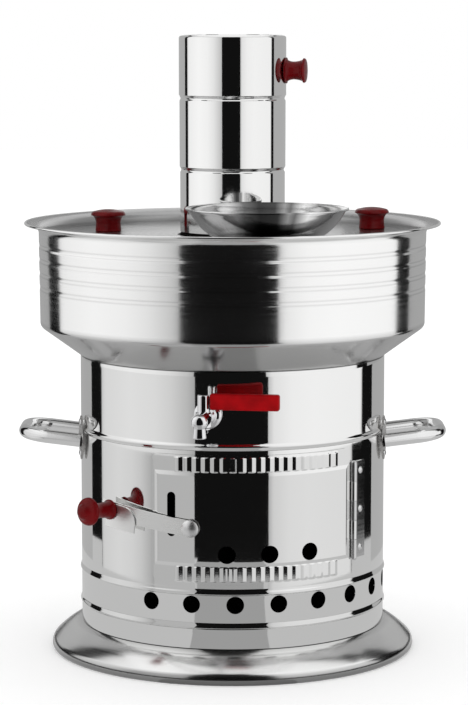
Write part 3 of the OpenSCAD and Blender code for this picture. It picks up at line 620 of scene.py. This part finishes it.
def knob_outline(base_r, waist_r, face_r, length, edge=2.5, crown=0.0):
    """A turned knob's outline from its foot to the middle of its face."""
    low = length * 0.4
    top = length - edge
    foot = bend((base_r, 0.9), (waist_r + 0.4, 0.9), (waist_r, low), 10)
    swell = bend((waist_r, low), (waist_r + 0.6, top - edge * 0.9), (face_r, top - edge * 0.6), 12)
    return ([(0, 0), (base_r - 0.4, 0), (base_r, 0.4)] + foot + swell[1:-1]
            + arc((face_r - edge, top - edge * 0.5), edge, -8, 78, 8)
            + bend((face_r - edge, top + edge * 0.5), (face_r * 0.45, length + crown),
                   (0, length + crown), 8)[1:])


def knob(name, body, node, place, **sizes):
    """One knob on its place."""
    made = piece(name, spun(knob_outline(**sizes), steps=64), knob_red, body, [node],
                 place)
    smoothed(made, 40)


for name, (x, y) in (("lid_knob_left", (-103, 27)), ("lid_knob_right", (117, 55))):
    knob(name + "_turned", "lid", name, Matrix.Translation((x, y, lid_z + seat)), base_r=10.8,
         waist_r=10.3, face_r=14.3, length=18, edge=3)


# Teapot dish
# A shallow dish of thinner, duller sheet that stands on the lid in front of the chimney and keeps
# a teapot warm. Its rim is rolled.
dish_r, dish_floor_r, dish_h, dish_x, dish_y = 63.8, 28.0, 28.0, 27.0, 106.0
# The dish is darker towards the lid: painted shade where it stands on it.
dish_steel = steel("dish_steel", (0.9, 0.9, 0.9), 0.1, 0.18, 0.05, 0.001,
                   ((lid_z, 0.6), (lid_z + 5, 0.9), (lid_z + 12, 1), (lid_z + dish_h, 1)))
# Painted reflection: the dish is darkened by its direction round its own centre, most where it faces the
# front or the back.
painted_reflection_levels = ((-1, 0.5), (-0.8, 0.9), (-0.5, 0.8), (-0.3, 0.2), (-0.1, 0.06), (0.12, 0.08), (0.25, 0.4),
          (0.33, 0.2), (0.5, 1), (0.75, 0.6), (1, 0.9))


def painted_reflection_round(tree, x, y, levels):
    """Darkens a metal by its direction round its own centre, a painted reflection."""
    side_on = tree.nodes.new("ShaderNodeTexCoord").outputs["Object"]
    for how, by in (("SUBTRACT", (x / 1000, y / 1000, 0)), ("MULTIPLY", (1, 1, 0)), ("NORMALIZE", (0, 0, 0))):
        step = tree.nodes.new("ShaderNodeVectorMath")
        step.operation = how
        step.inputs[1].default_value = by
        tree.links.new(side_on, step.inputs[0])
        side_on = step.outputs[0]
    split = tree.nodes.new("ShaderNodeSeparateXYZ")
    tree.links.new(side_on, split.inputs[0])
    share = mapped(tree, split.outputs["X"], 0, 1, -1, 1)
    darkened(tree, toned(tree, share, [((side + 1) / 2, level) for side, level in levels]))


painted_reflection_round(dish_steel.node_tree, dish_x, -dish_y, painted_reflection_levels)
dish_gap = 0.3
dish_place = Matrix.Translation((dish_x, -dish_y, lid_z + dish_gap))
outline = ([(0, 0)] + straight((0, 0), (dish_floor_r, 0), 5)
           + bend((dish_floor_r, 0), (dish_r - 14, dish_h * 0.16), (dish_r - 3, dish_h - 3), 20)
           + [(dish_r - 1.4, dish_h - 0.9)])
dish = piece("teapot_dish_spun", spun(outline, steps=160), dish_steel, "dish", ["teapot_dish"],
             dish_place)
thickened(dish)
smoothed(dish)
dish_rim = piece("teapot_dish_rim", spun(arc((dish_r - 0.9, dish_h - 0.7), 0.9, 0, 330, 11), closed=True,
                                         steps=160), dish_steel, "dish",
                 place=dish_place)
smoothed(dish_rim)


# Chimney
# A polished pipe in three lengths with a groove at each step, which stands over the fire tube. A
# knob near its top lets it be lifted off hot.
chimney_r, chimney_step = 43.4, 0.45
chimney_low, chimney_top = 344.3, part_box("chimney_pipe")[1].z * 1000
step_deep, step_h, rim_round = 0.8, 4.0, 2.6
lower_r, upper_r = chimney_r - chimney_step, chimney_r + chimney_step
outline = [(lower_r, chimney_low)]
for r, next_r, z in ((lower_r, chimney_r, chimney_top - 109.5), (chimney_r, upper_r, chimney_top - 51.5)):
    outline += straight(outline[-1], (r, z - step_h / 2), 6) + bead(r, z, -step_deep, step_h, 10)
    outline.append((next_r, z + step_h / 2 + 0.6))
outline += (straight(outline[-1], (upper_r, chimney_top - 3), 6)
            + arc((upper_r - rim_round, chimney_top - 3), rim_round, 0, 75, 8)
            + [(upper_r - rim_round, chimney_top)])
chimney = piece("chimney", spun(outline), mirror_steel, "chimney", ["chimney_pipe"])
thickened(chimney)
smoothed(chimney)
knob_at, knob_drop = 78, 29.0
knob("chimney_knob_turned", "chimney", "chimney_knob",
     towards(knob_at, upper_r + seat, chimney_top - knob_drop), base_r=10.5, waist_r=7.2, face_r=10,
     length=17.5, edge=1.6)


# Fire door
# One pressed plate, bent round the firebox: a raised middle panel, a row of flutes above and below
# it to stiffen it, three draught holes and a peep slot. Knuckles on its right edge turn on a pin.
panel_side, panel_low, panel_high, panel_out, panel_ramp = 4.0, 91.0, 163.0, 0.5, 2.2
flute_lean, flute_len, flute_count, flute_pitch, flute_first = 0.345, 12.0, 19, 3.3, -19.6
flute_rows = (door_low + 1.5 + flute_len / 2, door_high - 1.5 - flute_len / 2)
panel_left = door_left + degrees(panel_side / door_r)
panel_right = door_right - degrees(panel_side / door_r)


def ramp(value, start, end):
    """Rises smoothly from 0 at start to 1 at end."""
    t = min(1, max(0, (value - start) / (end - start)))
    return t * t * (3 - 2 * t)


def pressed(angle, z):
    """How far the press pushes the door's sheet outwards."""
    arm = radians(1) * door_r
    inside = min((angle - panel_left) * arm, (panel_right - angle) * arm, z - panel_low, panel_high - z)
    rise = panel_out * ramp(inside, -panel_ramp, panel_ramp)
    along = (angle - flute_first) / flute_pitch
    nearest = min(flute_count - 1, max(0, round(along)))
    aside = (along - nearest) * flute_pitch * arm
    phase = min(1, abs(aside) / (flute_pitch * arm / 2))
    wave = flute_lean * (1.326 + asin(0.97 * cos(pi * phase)))
    for row in flute_rows:
        rise += wave * ramp(flute_len / 2 + 0.3 - abs(z - row), 0, 1.2)
    return rise


heights = [door_low, door_low + 0.5]
for row in flute_rows:
    for end in (-1, 1):
        for i in range(7):
            heights.append(row + end * (flute_len / 2 - 1.8 * i / 6 + 0.4))
    heights += [row - 2, row, row + 2]
heights += [panel_low + i * 0.4 for i in range(-3, 4)] + [panel_high + i * 0.4 for i in range(-3, 4)]
heights += [panel_low + 3 + i * (panel_high - panel_low - 6) / 16 for i in range(17)]
heights += [door_high - 0.5, door_high]
bm = bmesh.new()
column = [bm.verts.new(around(door_r, door_left - 1, z)) for z in sorted(set(round(z, 3) for z in heights))]
edges = [bm.edges.new(pair) for pair in zip(column, column[1:])]
bmesh.ops.spin(bm, geom=column + edges, cent=(0, 0, 0), axis=(0, 0, 1),
               angle=radians(door_right - door_left + 2), steps=500)
for vert in bm.verts:
    angle = degrees(atan2(vert.co.x, -vert.co.y))
    vert.co = around(door_r + sheet_t + pressed(angle, vert.co.z), angle, vert.co.z)
bmesh.ops.recalc_face_normals(bm, faces=bm.faces)
if outwards(bm) < 0:
    bmesh.ops.reverse_faces(bm, faces=bm.faces)
door = piece("fire_door_pressed", bm, mirror_steel, "door", ["fire_door"])
thickened(door)
door_half = radians(door_right - door_left) / 2
latch_at, latch_z, latch_pin_r = -15.0, 120.0, 2.5
hole_r, hole_first, hole_pitch, hole_z = 7.0, -2.0, 15.4, 99.4
slot_w, slot_h, slot_at, slot_z = 7.0, 35.5, -22.3, 130.5
punch_r = door_r - punch_in
draught_holes = [rod(hole_r, punch_len, towards(hole_first + hole_pitch * i, punch_r, hole_z))
                 for i in range(3)]
peep_slot = block(slot_w, slot_h, punch_len, towards(slot_at, punch_r, slot_z), slot_w / 2 - 0.01)
cut(door, [block(2 * door_r * sin(door_half), door_high - door_low, door_r,
                 towards(opening_middle, door_r / 2, door_middle), door_corner)], "INTERSECT")
cut(door, draught_holes + [peep_slot, rod(latch_pin_r, punch_len, towards(latch_at, punch_r, latch_z))])
smoothed(door, 38)


# Hinge
# A rolled leaf riveted to the firebox, with five knuckles in turn on the leaf and on the door, and
# one pin through them all.
knuckle_r, knuckle_count, hinge_low, hinge_len, pin_r, pin_head_r = 2.4, 5, 88.0, 78.0, 1.25, 2.04
knuckle_axis_r = door_r + knuckle_r - seat
leaf_t, leaf_w, web_t = 1.0, 17.0, 0.7
hinge_steel = steel("hinge_steel", (0.72, 0.72, 0.72), 0.08, 0.16, 0.02, 0.002)
hinge_place = Matrix.Rotation(radians(hinge_at), 4, "Z") @ Matrix.Translation((0, -knuckle_axis_r, 0))


def curved_plate(radius, thickness, start, end, low, high, steps=24):
    """A plate bent round the firebox between two angles and two heights."""
    bm = bmesh.new()
    face = bm.faces.new([bm.verts.new(around(r, start, z)) for r, z in (
        (radius, low), (radius, high), (radius + thickness, high), (radius + thickness, low))])
    bmesh.ops.spin(bm, geom=[face], cent=(0, 0, 0), axis=(0, 0, 1), angle=radians(end - start),
                   steps=steps)
    bmesh.ops.recalc_face_normals(bm, faces=bm.faces)
    return bm


def tube(outer, inner, low, high):
    """A short tube with slightly broken edges."""
    soft = min(0.2, (outer - inner) / 4)
    return spun([(inner, low), (outer - soft, low), (outer, low + soft), (outer, high - soft),
                 (outer - soft, high), (inner, high)], closed=True, steps=32)


def joined(bm, other, place=None):
    """Adds one mesh to another and frees it."""
    if place is not None:
        bmesh.ops.transform(other, matrix=place, verts=other.verts)
    extra = bpy.data.meshes.new("extra")
    other.to_mesh(extra)
    other.free()
    bm.from_mesh(extra)
    bpy.data.meshes.remove(extra)


knuckle_len = hinge_len / knuckle_count
leaf = curved_plate(body_r + seat, leaf_t, hinge_at + degrees(hinge_clear / body_r),
                    hinge_at + degrees(leaf_w / body_r), hinge_low, hinge_low + hinge_len)
door_knuckles = bmesh.new()
for i in range(knuckle_count):
    low, high = hinge_low + i * knuckle_len + 0.15, hinge_low + (i + 1) * knuckle_len - 0.15
    web = degrees((hinge_clear + 1) / door_r)
    if i % 2:
        joined(door_knuckles, tube(knuckle_r, pin_r + seat, low, high), hinge_place)
        joined(door_knuckles, curved_plate(door_r + 0.05, web_t, hinge_at - web, hinge_at, low, high, 4))
    else:
        joined(leaf, tube(knuckle_r, pin_r + seat, low, high), hinge_place)
        joined(leaf, curved_plate(body_r + seat, leaf_t, hinge_at, hinge_at + web, low, high, 4))
smoothed(piece("hinge_leaf_rolled", leaf, hinge_steel, "samovar", ["hinge_leaf"]))
smoothed(piece("door_knuckles", door_knuckles, mirror_steel, "door"))
pin_top = hinge_low + hinge_len + 0.1
outline = ([(0, hinge_low - 1.3)]
           + bend((0, hinge_low - 1.3), (2, hinge_low - 1.2), (pin_head_r, hinge_low - 0.1), 5)[1:]
           + [(pin_r, hinge_low - 0.1), (pin_r, pin_top)]
           + bend((pin_head_r, pin_top), (2, pin_top + 1.1), (0, pin_top + 1.2), 5))
smoothed(piece("hinge_pin_turned", spun(outline, steps=32), hinge_steel, "samovar", ["hinge_pin"],
               hinge_place))


def rivet_head(radius, height):
    """A low domed rivet head on its flat side."""
    ball = (radius * radius + height * height) / (2 * height)
    half = degrees(asin(min(1, radius / ball)))
    return spun([(0, 0), (radius, 0)] + arc((0, height - ball), ball, 90 - half, 90, 8), steps=40)


def rivets(name, node, places, radius):
    """A set of equal rivet heads at their places."""
    heads = bmesh.new()
    for place in places:
        joined(heads, rivet_head(radius, radius * 0.45), place)
    smoothed(piece(name, heads, hinge_steel, "samovar", [node]), 50)


rivet_r = 2.9
leaf_rivet_at = hinge_at + degrees(leaf_w * 0.62 / body_r)
rivets("hinge_rivet_heads", "hinge_rivets",
       [towards(leaf_rivet_at, body_r + seat + leaf_t, hinge_low + t * hinge_len) for t in (0.1, 0.5, 0.9)],
       rivet_r)


# Latch
# A flat steel strap, bent to the door, that turns on a domed rivet. Its free end carries a
# D-shaped plate and a knob, and it drops onto a small ledge on the firebox.
strap_w, strap_t, strap_reach, strap_tilt, strap_bend = 13.0, 1.5, 70.0, 7.5, 150.0
strap_r = door_r + sheet_t + 2
catch_low, catch_h, catch_w, catch_t = 13.5, 19.0, 27.5, 1.0
strap_steel = steel("strap_steel", (0.95, 0.95, 0.94), 0.2, 0.3, 0.03, 0.002)
on_latch = (Matrix.Rotation(radians(latch_at), 4, "Z") @ Matrix.Translation((0, 0, latch_z))
            @ Matrix.Rotation(radians(strap_tilt), 4, "Y"))
strap_angle = degrees(asin(strap_reach / strap_bend))
knob_end = on_latch @ Matrix.Translation((0, strap_bend - strap_r, 0)) @ towards(-strap_angle, 0, 0)


def drawn_out(sections):
    """Draws a bar's first section out through the others, from lists of its four corners."""
    bm = bmesh.new()
    first = last = bm.faces.new([bm.verts.new(corner) for corner in sections[0]])
    for section in sections[1:]:
        before = last
        moved = bmesh.ops.extrude_face_region(bm, geom=[before])
        last = [part for part in moved["geom"] if isinstance(part, bmesh.types.BMFace)][0]
        for vert, corner in zip(last.verts, section):
            vert.co = corner
        if before != first:
            bmesh.ops.delete(bm, geom=[before], context="FACES_ONLY")
    bmesh.ops.recalc_face_normals(bm, faces=bm.faces)
    return bm


def on_bend(x, z, depth):
    """A place on the strap's bend, at a depth outwards from its back."""
    turn = asin(x / strap_bend)
    return (strap_bend + depth) * sin(turn), strap_bend - strap_r - (strap_bend + depth) * cos(turn), z


def bent_strip(stations, back, thickness):
    """A flat strip bent to the latch's curve, from stations of (x, lower edge, upper edge)."""
    front = back + thickness
    return drawn_out([[on_bend(x, low, back), on_bend(x, high, back), on_bend(x, high, front),
                       on_bend(x, low, front)] for x, low, high in stations])


def eased(made, width, limit=30):
    """Breaks the edges of a piece that are sharper than a limit in degrees."""
    edges = made.modifiers.new("edges", "BEVEL")
    edges.width, edges.segments, edges.limit_method = width / 1000, 2, "ANGLE"
    edges.angle_limit = radians(limit)
    baked(made)


half_w = strap_w / 2
strap_len = strap_reach + 9
stations = [(-strap_len + i * strap_len / 24, -half_w, half_w) for i in range(25)]
stations += [(half_w * sin(radians(a)), -half_w * cos(radians(a)), half_w * cos(radians(a)))
             for a in range(8, 89, 8)]
strap = piece("latch_strap_bent", bent_strip(stations, 0, strap_t), strap_steel, "latch", ["latch_strap"],
              on_latch)
eased(strap, 0.3)
smoothed(strap)

round_r, catch_past = 12.0, 3.0
right = catch_w - catch_past - strap_reach
top = catch_h - catch_low
stations = [(right - catch_w + i * (catch_w - round_r) / 6, -catch_low, top) for i in range(7)]
stations += [(right - round_r + round_r * sin(radians(a)), -catch_low,
              top - round_r + round_r * cos(radians(a))) for a in range(9, 91, 9)]
catch = piece("latch_plate", bent_strip(stations, strap_t + seat, catch_t), strap_steel, "latch",
              ["latch_catch"], on_latch)
eased(catch, 0.25)
smoothed(catch)

knob("latch_knob_turned", "latch", "latch_knob",
     knob_end @ Matrix.Translation((0, 0, strap_bend + strap_t + catch_t + 2 * seat)), base_r=8, waist_r=6,
     face_r=11.2, length=30, edge=4.5, crown=3.5)
pivot = rivet_head(7, 3)
joined(pivot, tube(5, latch_pin_r, -1.9, -1.5))
rivet_steel = steel("rivet_steel", (0.86, 0.86, 0.86), 0.32, 0.42, 0.03, 0.003)
smoothed(piece("latch_rivet_head", pivot, rivet_steel, "door", ["latch_rivet"],
               towards(latch_at, strap_r + strap_t + seat, latch_z)), 50)


# Latch keeper
# A small ledge of bent steel strip on the firebox, held by one rivet. The strap rests on it when the
# door is shut.
keeper_t, keeper_w = 1.2, 12.0
ledge_top = -half_w - 0.3
keeper_left = 3 - strap_reach


def on_firebox(low, high, inner, outer):
    """A bar along the tilted latch, between two heights and two radii of the firebox."""
    sections = []
    for i in range(7):
        x = keeper_left + keeper_w * i / 6
        section = []
        for radius, z in ((inner, low), (inner, high), (outer, high), (outer, low)):
            aside = x * cos(radians(strap_tilt)) + z * sin(radians(strap_tilt))
            section.append((x, -sqrt(radius * radius - aside * aside), z))
        sections.append(section)
    return drawn_out(sections)


wall = body_r + seat
keeper = on_firebox(ledge_top - keeper_t, ledge_top, wall, strap_r + 1)
joined(keeper, on_firebox(0.5 - catch_low, ledge_top - keeper_t, wall, wall + keeper_t))
smoothed(piece("latch_keeper_bent", keeper, strap_steel, "samovar", ["latch_keeper"],
               on_latch))
keeper_rivet_at = latch_at - degrees(asin((strap_reach - 9) / body_r))
rivets("keeper_rivet_head", "keeper_rivet",
       [towards(keeper_rivet_at, body_r + keeper_t + 2 * seat, latch_z - 2)], 2)


# Tap
# A cast and chromed body on a round flange, with a black rubber ring behind it. A plug stands
# across the barrel, held by a nut below, and a flat red grip is pushed over the plug's tongue.
tap_at, tap_z, gasket_t, flange_r = -8.6, 210.5, 1.8, 11.0
barrel_r, bore_r, plug_r, stem_r = 6.6, 3.0, 4.5, 2.0
plug_y, spout_y, spout_drop, spout_r = body_r + 25, body_r + 43.5, 12.5, bore_r + 2.4
spigot_r, neck_r, nut_r, nut_h = 5.9, 7.6, 4.6, 2.8
boss_r, boss_up, boss_down, plug_up = 6.5, 4.8, 6.6, 19.0
chrome = steel("chrome", (0.82, 0.82, 0.83), 0.03, 0.06, 0.02, 0.0004)
rubber = lacquer("rubber", (0.02, 0.02, 0.02), 0.55)
grip_red = lacquer("grip_red", (0.29, 0.0006, 0.0025), 0.35, 0.0, 0.06)
tap_turned = Matrix.Rotation(radians(tap_at), 4, "Z")
on_tap = towards(tap_at, 0, tap_z)
on_plug = tap_turned @ Matrix.Translation((0, -plug_y, tap_z))
on_spout = tap_turned @ Matrix.Translation((0, -spout_y, tap_z))
wall = body_r + gasket_t
outline = ([(0, wall - 3), (spigot_r, wall - 3), (spigot_r, wall), (flange_r - 0.4, wall),
            (flange_r, wall + 0.4), (flange_r, wall + 1.7)]
           + bend((flange_r, wall + 1.7), (flange_r - 0.6, wall + 3), (neck_r, wall + 4), 6)[1:]
           + bend((neck_r, wall + 4), (barrel_r, wall + 4.4), (barrel_r, wall + 6.4), 5)[1:]
           + [(barrel_r, spout_y - 6)] + arc((0, spout_y), barrel_r, 0, 90, 12))
casting = bmesh.new()
joined(casting, spun(outline, steps=64), on_tap)
outline = [(0, -boss_down), (boss_r - 0.6, -boss_down), (boss_r, -boss_down + 0.6), (boss_r, boss_up - 0.6),
           (boss_r - 0.6, boss_up), (0, boss_up)]
joined(casting, spun(outline, steps=64), on_plug)
outline = ([(0, 0), (spout_r - 1, 0), (spout_r - 0.9, -3), (spout_r - 0.2, -10), (spout_r, -11.4)]
           + bend((spout_r, -11.4), (spout_r, -spout_drop), (spout_r - 1, -spout_drop), 5)[1:]
           + [(bore_r + 0.3, -spout_drop), (bore_r, -12.2), (bore_r, -7), (0, -7)])
joined(casting, spun(outline, steps=48), on_spout)
smoothed(piece("tap_body_cast", casting, chrome, "samovar", ["tap_body"]), 35)

outline = ([(0, -boss_down - 5), (stem_r - 0.3, -boss_down - 5), (stem_r, -boss_down - 4.7),
            (stem_r, -boss_down - 0.1), (plug_r - 0.1, -boss_down - 0.1), (plug_r - 0.1, boss_up + 0.2),
            (plug_r, boss_up + 0.5), (plug_r, plug_up - 1.4)]
           + arc((plug_r - 1.4, plug_up - 1.4), 1.4, 0, 80, 5)[1:] + [(0, plug_up)])
smoothed(piece("tap_plug_turned", spun(outline, steps=48), chrome, "tap_cock", ["tap_plug"],
               on_plug), 35)

nut = bmesh.new()
bmesh.ops.create_cone(nut, cap_ends=True, segments=6, radius1=nut_r, radius2=nut_r, depth=nut_h)
rounded(nut, nut.edges[:], 0.25, 2)
bmesh.ops.translate(nut, vec=(0, 0, -boss_down - nut_h), verts=nut.verts)
joined(nut, tube(nut_r + 1, stem_r + 0.1, -boss_down - 1.4, -boss_down - 0.4))
smoothed(piece("tap_plug_nut_turned", nut, chrome, "tap_cock", ["tap_plug_nut"], on_plug))

grip_len, grip_h, grip_t, grip_gap, grip_edge, grip_end = 54.0, 12.6, 8.0, 0.8, 2.2, 1.8
grip_z = barrel_r + grip_gap + grip_h / 2
grip = bmesh.new()
bmesh.ops.create_cube(grip, size=1, matrix=Matrix.Diagonal((grip_len, grip_t, grip_h, 1)))
long_edges = [e for e in grip.edges if abs((e.verts[0].co - e.verts[1].co).x) > 1]
rounded(grip, long_edges, grip_edge, 8)
end_edges = [e for e in grip.edges if abs(e.verts[0].co.x - e.verts[1].co.x) < 0.01]
rounded(grip, end_edges, grip_end, 4)
bmesh.ops.translate(grip, vec=(plug_r + grip_gap + grip_len / 2, 0, grip_z), verts=grip.verts)
smoothed(piece("tap_grip_moulded", grip, grip_red, "tap_cock", ["tap_grip"], on_plug), 40)


# Side handles
# Two bent steel tubes, each welded to two lens-shaped plates that bridge the body's seam and are
# riveted to it above and below.
handle_d, handle_out, handle_span, handle_bend, handle_z = 11.0, 50.6, 62.0, 20.0, seam_z - 3.5
plate_h, plate_w, plate_t = 36.0, 18.0, 1.5
plate_r, plate_z = body_r + bead_out + 0.2 + seat, seam_z - 6.5
arm_at = degrees(asin(handle_span / 2 / body_r))
tube_steel = steel("tube_steel", (0.84, 0.84, 0.84), 0.05, 0.1, 0.03, 0.001)
handle_rise = 7.0
reach = body_r + handle_out - handle_d / 2
arm = handle_span / 2


def lengthened(bm, ring, vec):
    """Draws a ring of edges out in a straight line, in three steps, and gives its new end."""
    for i in range(3):
        grown = bmesh.ops.extrude_edge_only(bm, edges=ring)["geom"]
        verts = [g for g in grown if isinstance(g, bmesh.types.BMVert)]
        ring = [g for g in grown if isinstance(g, bmesh.types.BMEdge)
                and g.verts[0] in verts and g.verts[1] in verts]
        bmesh.ops.translate(bm, vec=Vector(vec) / 3, verts=verts)
    return ring


def turned(bm, ring, cent):
    """Draws a ring of edges round a quarter bend and gives its new end."""
    grown = bmesh.ops.spin(bm, geom=ring, cent=cent, axis=(0, 0, 1), angle=pi / 2, steps=18)
    return [g for g in grown["geom_last"] if isinstance(g, bmesh.types.BMEdge)]


def bent_handle(turn):
    """One handle, which rises a little outwards, turned to its side of the body."""
    bm = bmesh.new()
    start = body_r - 1.2
    made = bmesh.ops.create_circle(bm, cap_ends=False, segments=40, radius=handle_d / 2,
                                   matrix=Matrix.Translation((start, -arm, handle_z))
                                   @ Matrix.Rotation(radians(90), 4, "Y"))
    ring = list({edge for vert in made["verts"] for edge in vert.link_edges})
    first = list(ring)
    ring = lengthened(bm, ring, (reach - handle_bend - start, 0, 0))
    ring = turned(bm, ring, (reach - handle_bend, -arm + handle_bend, 0))
    ring = lengthened(bm, ring, (0, 2 * (arm - handle_bend), 0))
    ring = turned(bm, ring, (reach - handle_bend, arm - handle_bend, 0))
    ring = lengthened(bm, ring, (start - reach + handle_bend, 0, 0))
    bmesh.ops.holes_fill(bm, edges=first + ring, sides=0)
    bmesh.ops.rotate(bm, cent=(reach, 0, handle_z - 0.8),
                     matrix=Matrix.Rotation(radians(-handle_rise), 3, "Y"), verts=bm.verts)
    bmesh.ops.rotate(bm, cent=(0, 0, 0), matrix=Matrix.Rotation(radians(turn), 3, "Z"), verts=bm.verts)
    bmesh.ops.recalc_face_normals(bm, faces=bm.faces)
    return bm


for name, turn in (("handle_right", 0), ("handle_left", 180)):
    smoothed(piece(name + "_bent", bent_handle(turn), tube_steel, "samovar", [name]), 50)

plate_steel = steel("plate_steel", (0.5, 0.49, 0.48), 0.12, 0.3, 0.05, 0.002)
lens_r = (plate_h * plate_h + plate_w * plate_w) / (4 * plate_w)
plate_tip = 0.998
plates = bmesh.new()
plate_places = [side + arm_side for side in (90, -90) for arm_side in (-arm_at, arm_at)]
for at in plate_places:
    plate = bmesh.new()
    bmesh.ops.create_grid(plate, x_segments=8, y_segments=24, size=0.5)
    for vert in plate.verts:
        v = plate_h * vert.co.y * plate_tip
        width = 2 * sqrt(lens_r * lens_r - v * v) - 2 * lens_r + plate_w
        vert.co = around(plate_r + plate_t, at + degrees(width * vert.co.x / plate_r), plate_z + v)
    joined(plates, plate)
made = piece("handle_plates_pressed", plates, plate_steel, "samovar", ["handle_plates"])
thickened(made, thickness=plate_t)
eased(made, 0.3, 50)
smoothed(made)
rivets("handle_rivet_heads", "handle_rivets",
       [towards(at, plate_r + plate_t + seat, plate_z + plate_h * share)
        for at in plate_places for share in (-0.35, 0.36)], rivet_r)


# Inner pieces
# The ash floor, the cast grate on its ledge, the tank's domed floor and the fire tube are plain and
# darkened by fire. The grate has thin ribs across its slots. The screws, the inner nut and the
# rubber rings are small bought pieces.
iron = lacquer("iron", (0.012, 0.011, 0.0105), 0.8, 0.0, 0.08)


def dressed(material, *names):
    """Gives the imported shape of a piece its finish."""
    for name in names:
        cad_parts[name].data.materials.clear()
        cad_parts[name].data.materials.append(material)


dressed(soot, "ash_floor", "grate_ledge", "tank_floor", "fire_tube")
grate_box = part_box("fire_grate")
grate_low, grate_r = grate_box[0].z * 1000, grate_box[1].x * 1000
grate_rim, rib_pitch, rib_w, rib_h = 9.0, 14.0, 3.0, 3.5
bm = bmesh.new()
bm.from_mesh(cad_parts["fire_grate"].data)
bmesh.ops.remove_doubles(bm, verts=bm.verts, dist=0.00001)
bmesh.ops.scale(bm, vec=(1000, 1000, 1000), verts=bm.verts)
grate = piece("fire_grate_cast", bm, iron, "samovar", ["fire_grate"])
for i in range(-7, 8):
    reach = sqrt((grate_r - grate_rim / 2) ** 2 - (i * rib_pitch) ** 2)
    cut(grate, [block(2 * reach, rib_w, rib_h, Matrix.Translation((0, i * rib_pitch, grate_low + 0.25)))],
        "UNION")
smoothed(grate)
dressed(hinge_steel, "lid_knob_screws", "chimney_knob_screw", "latch_knob_screw", "tap_lock_nut",
        "tap_lever")
dressed(rubber, "tap_gasket_outer", "tap_gasket_inner")
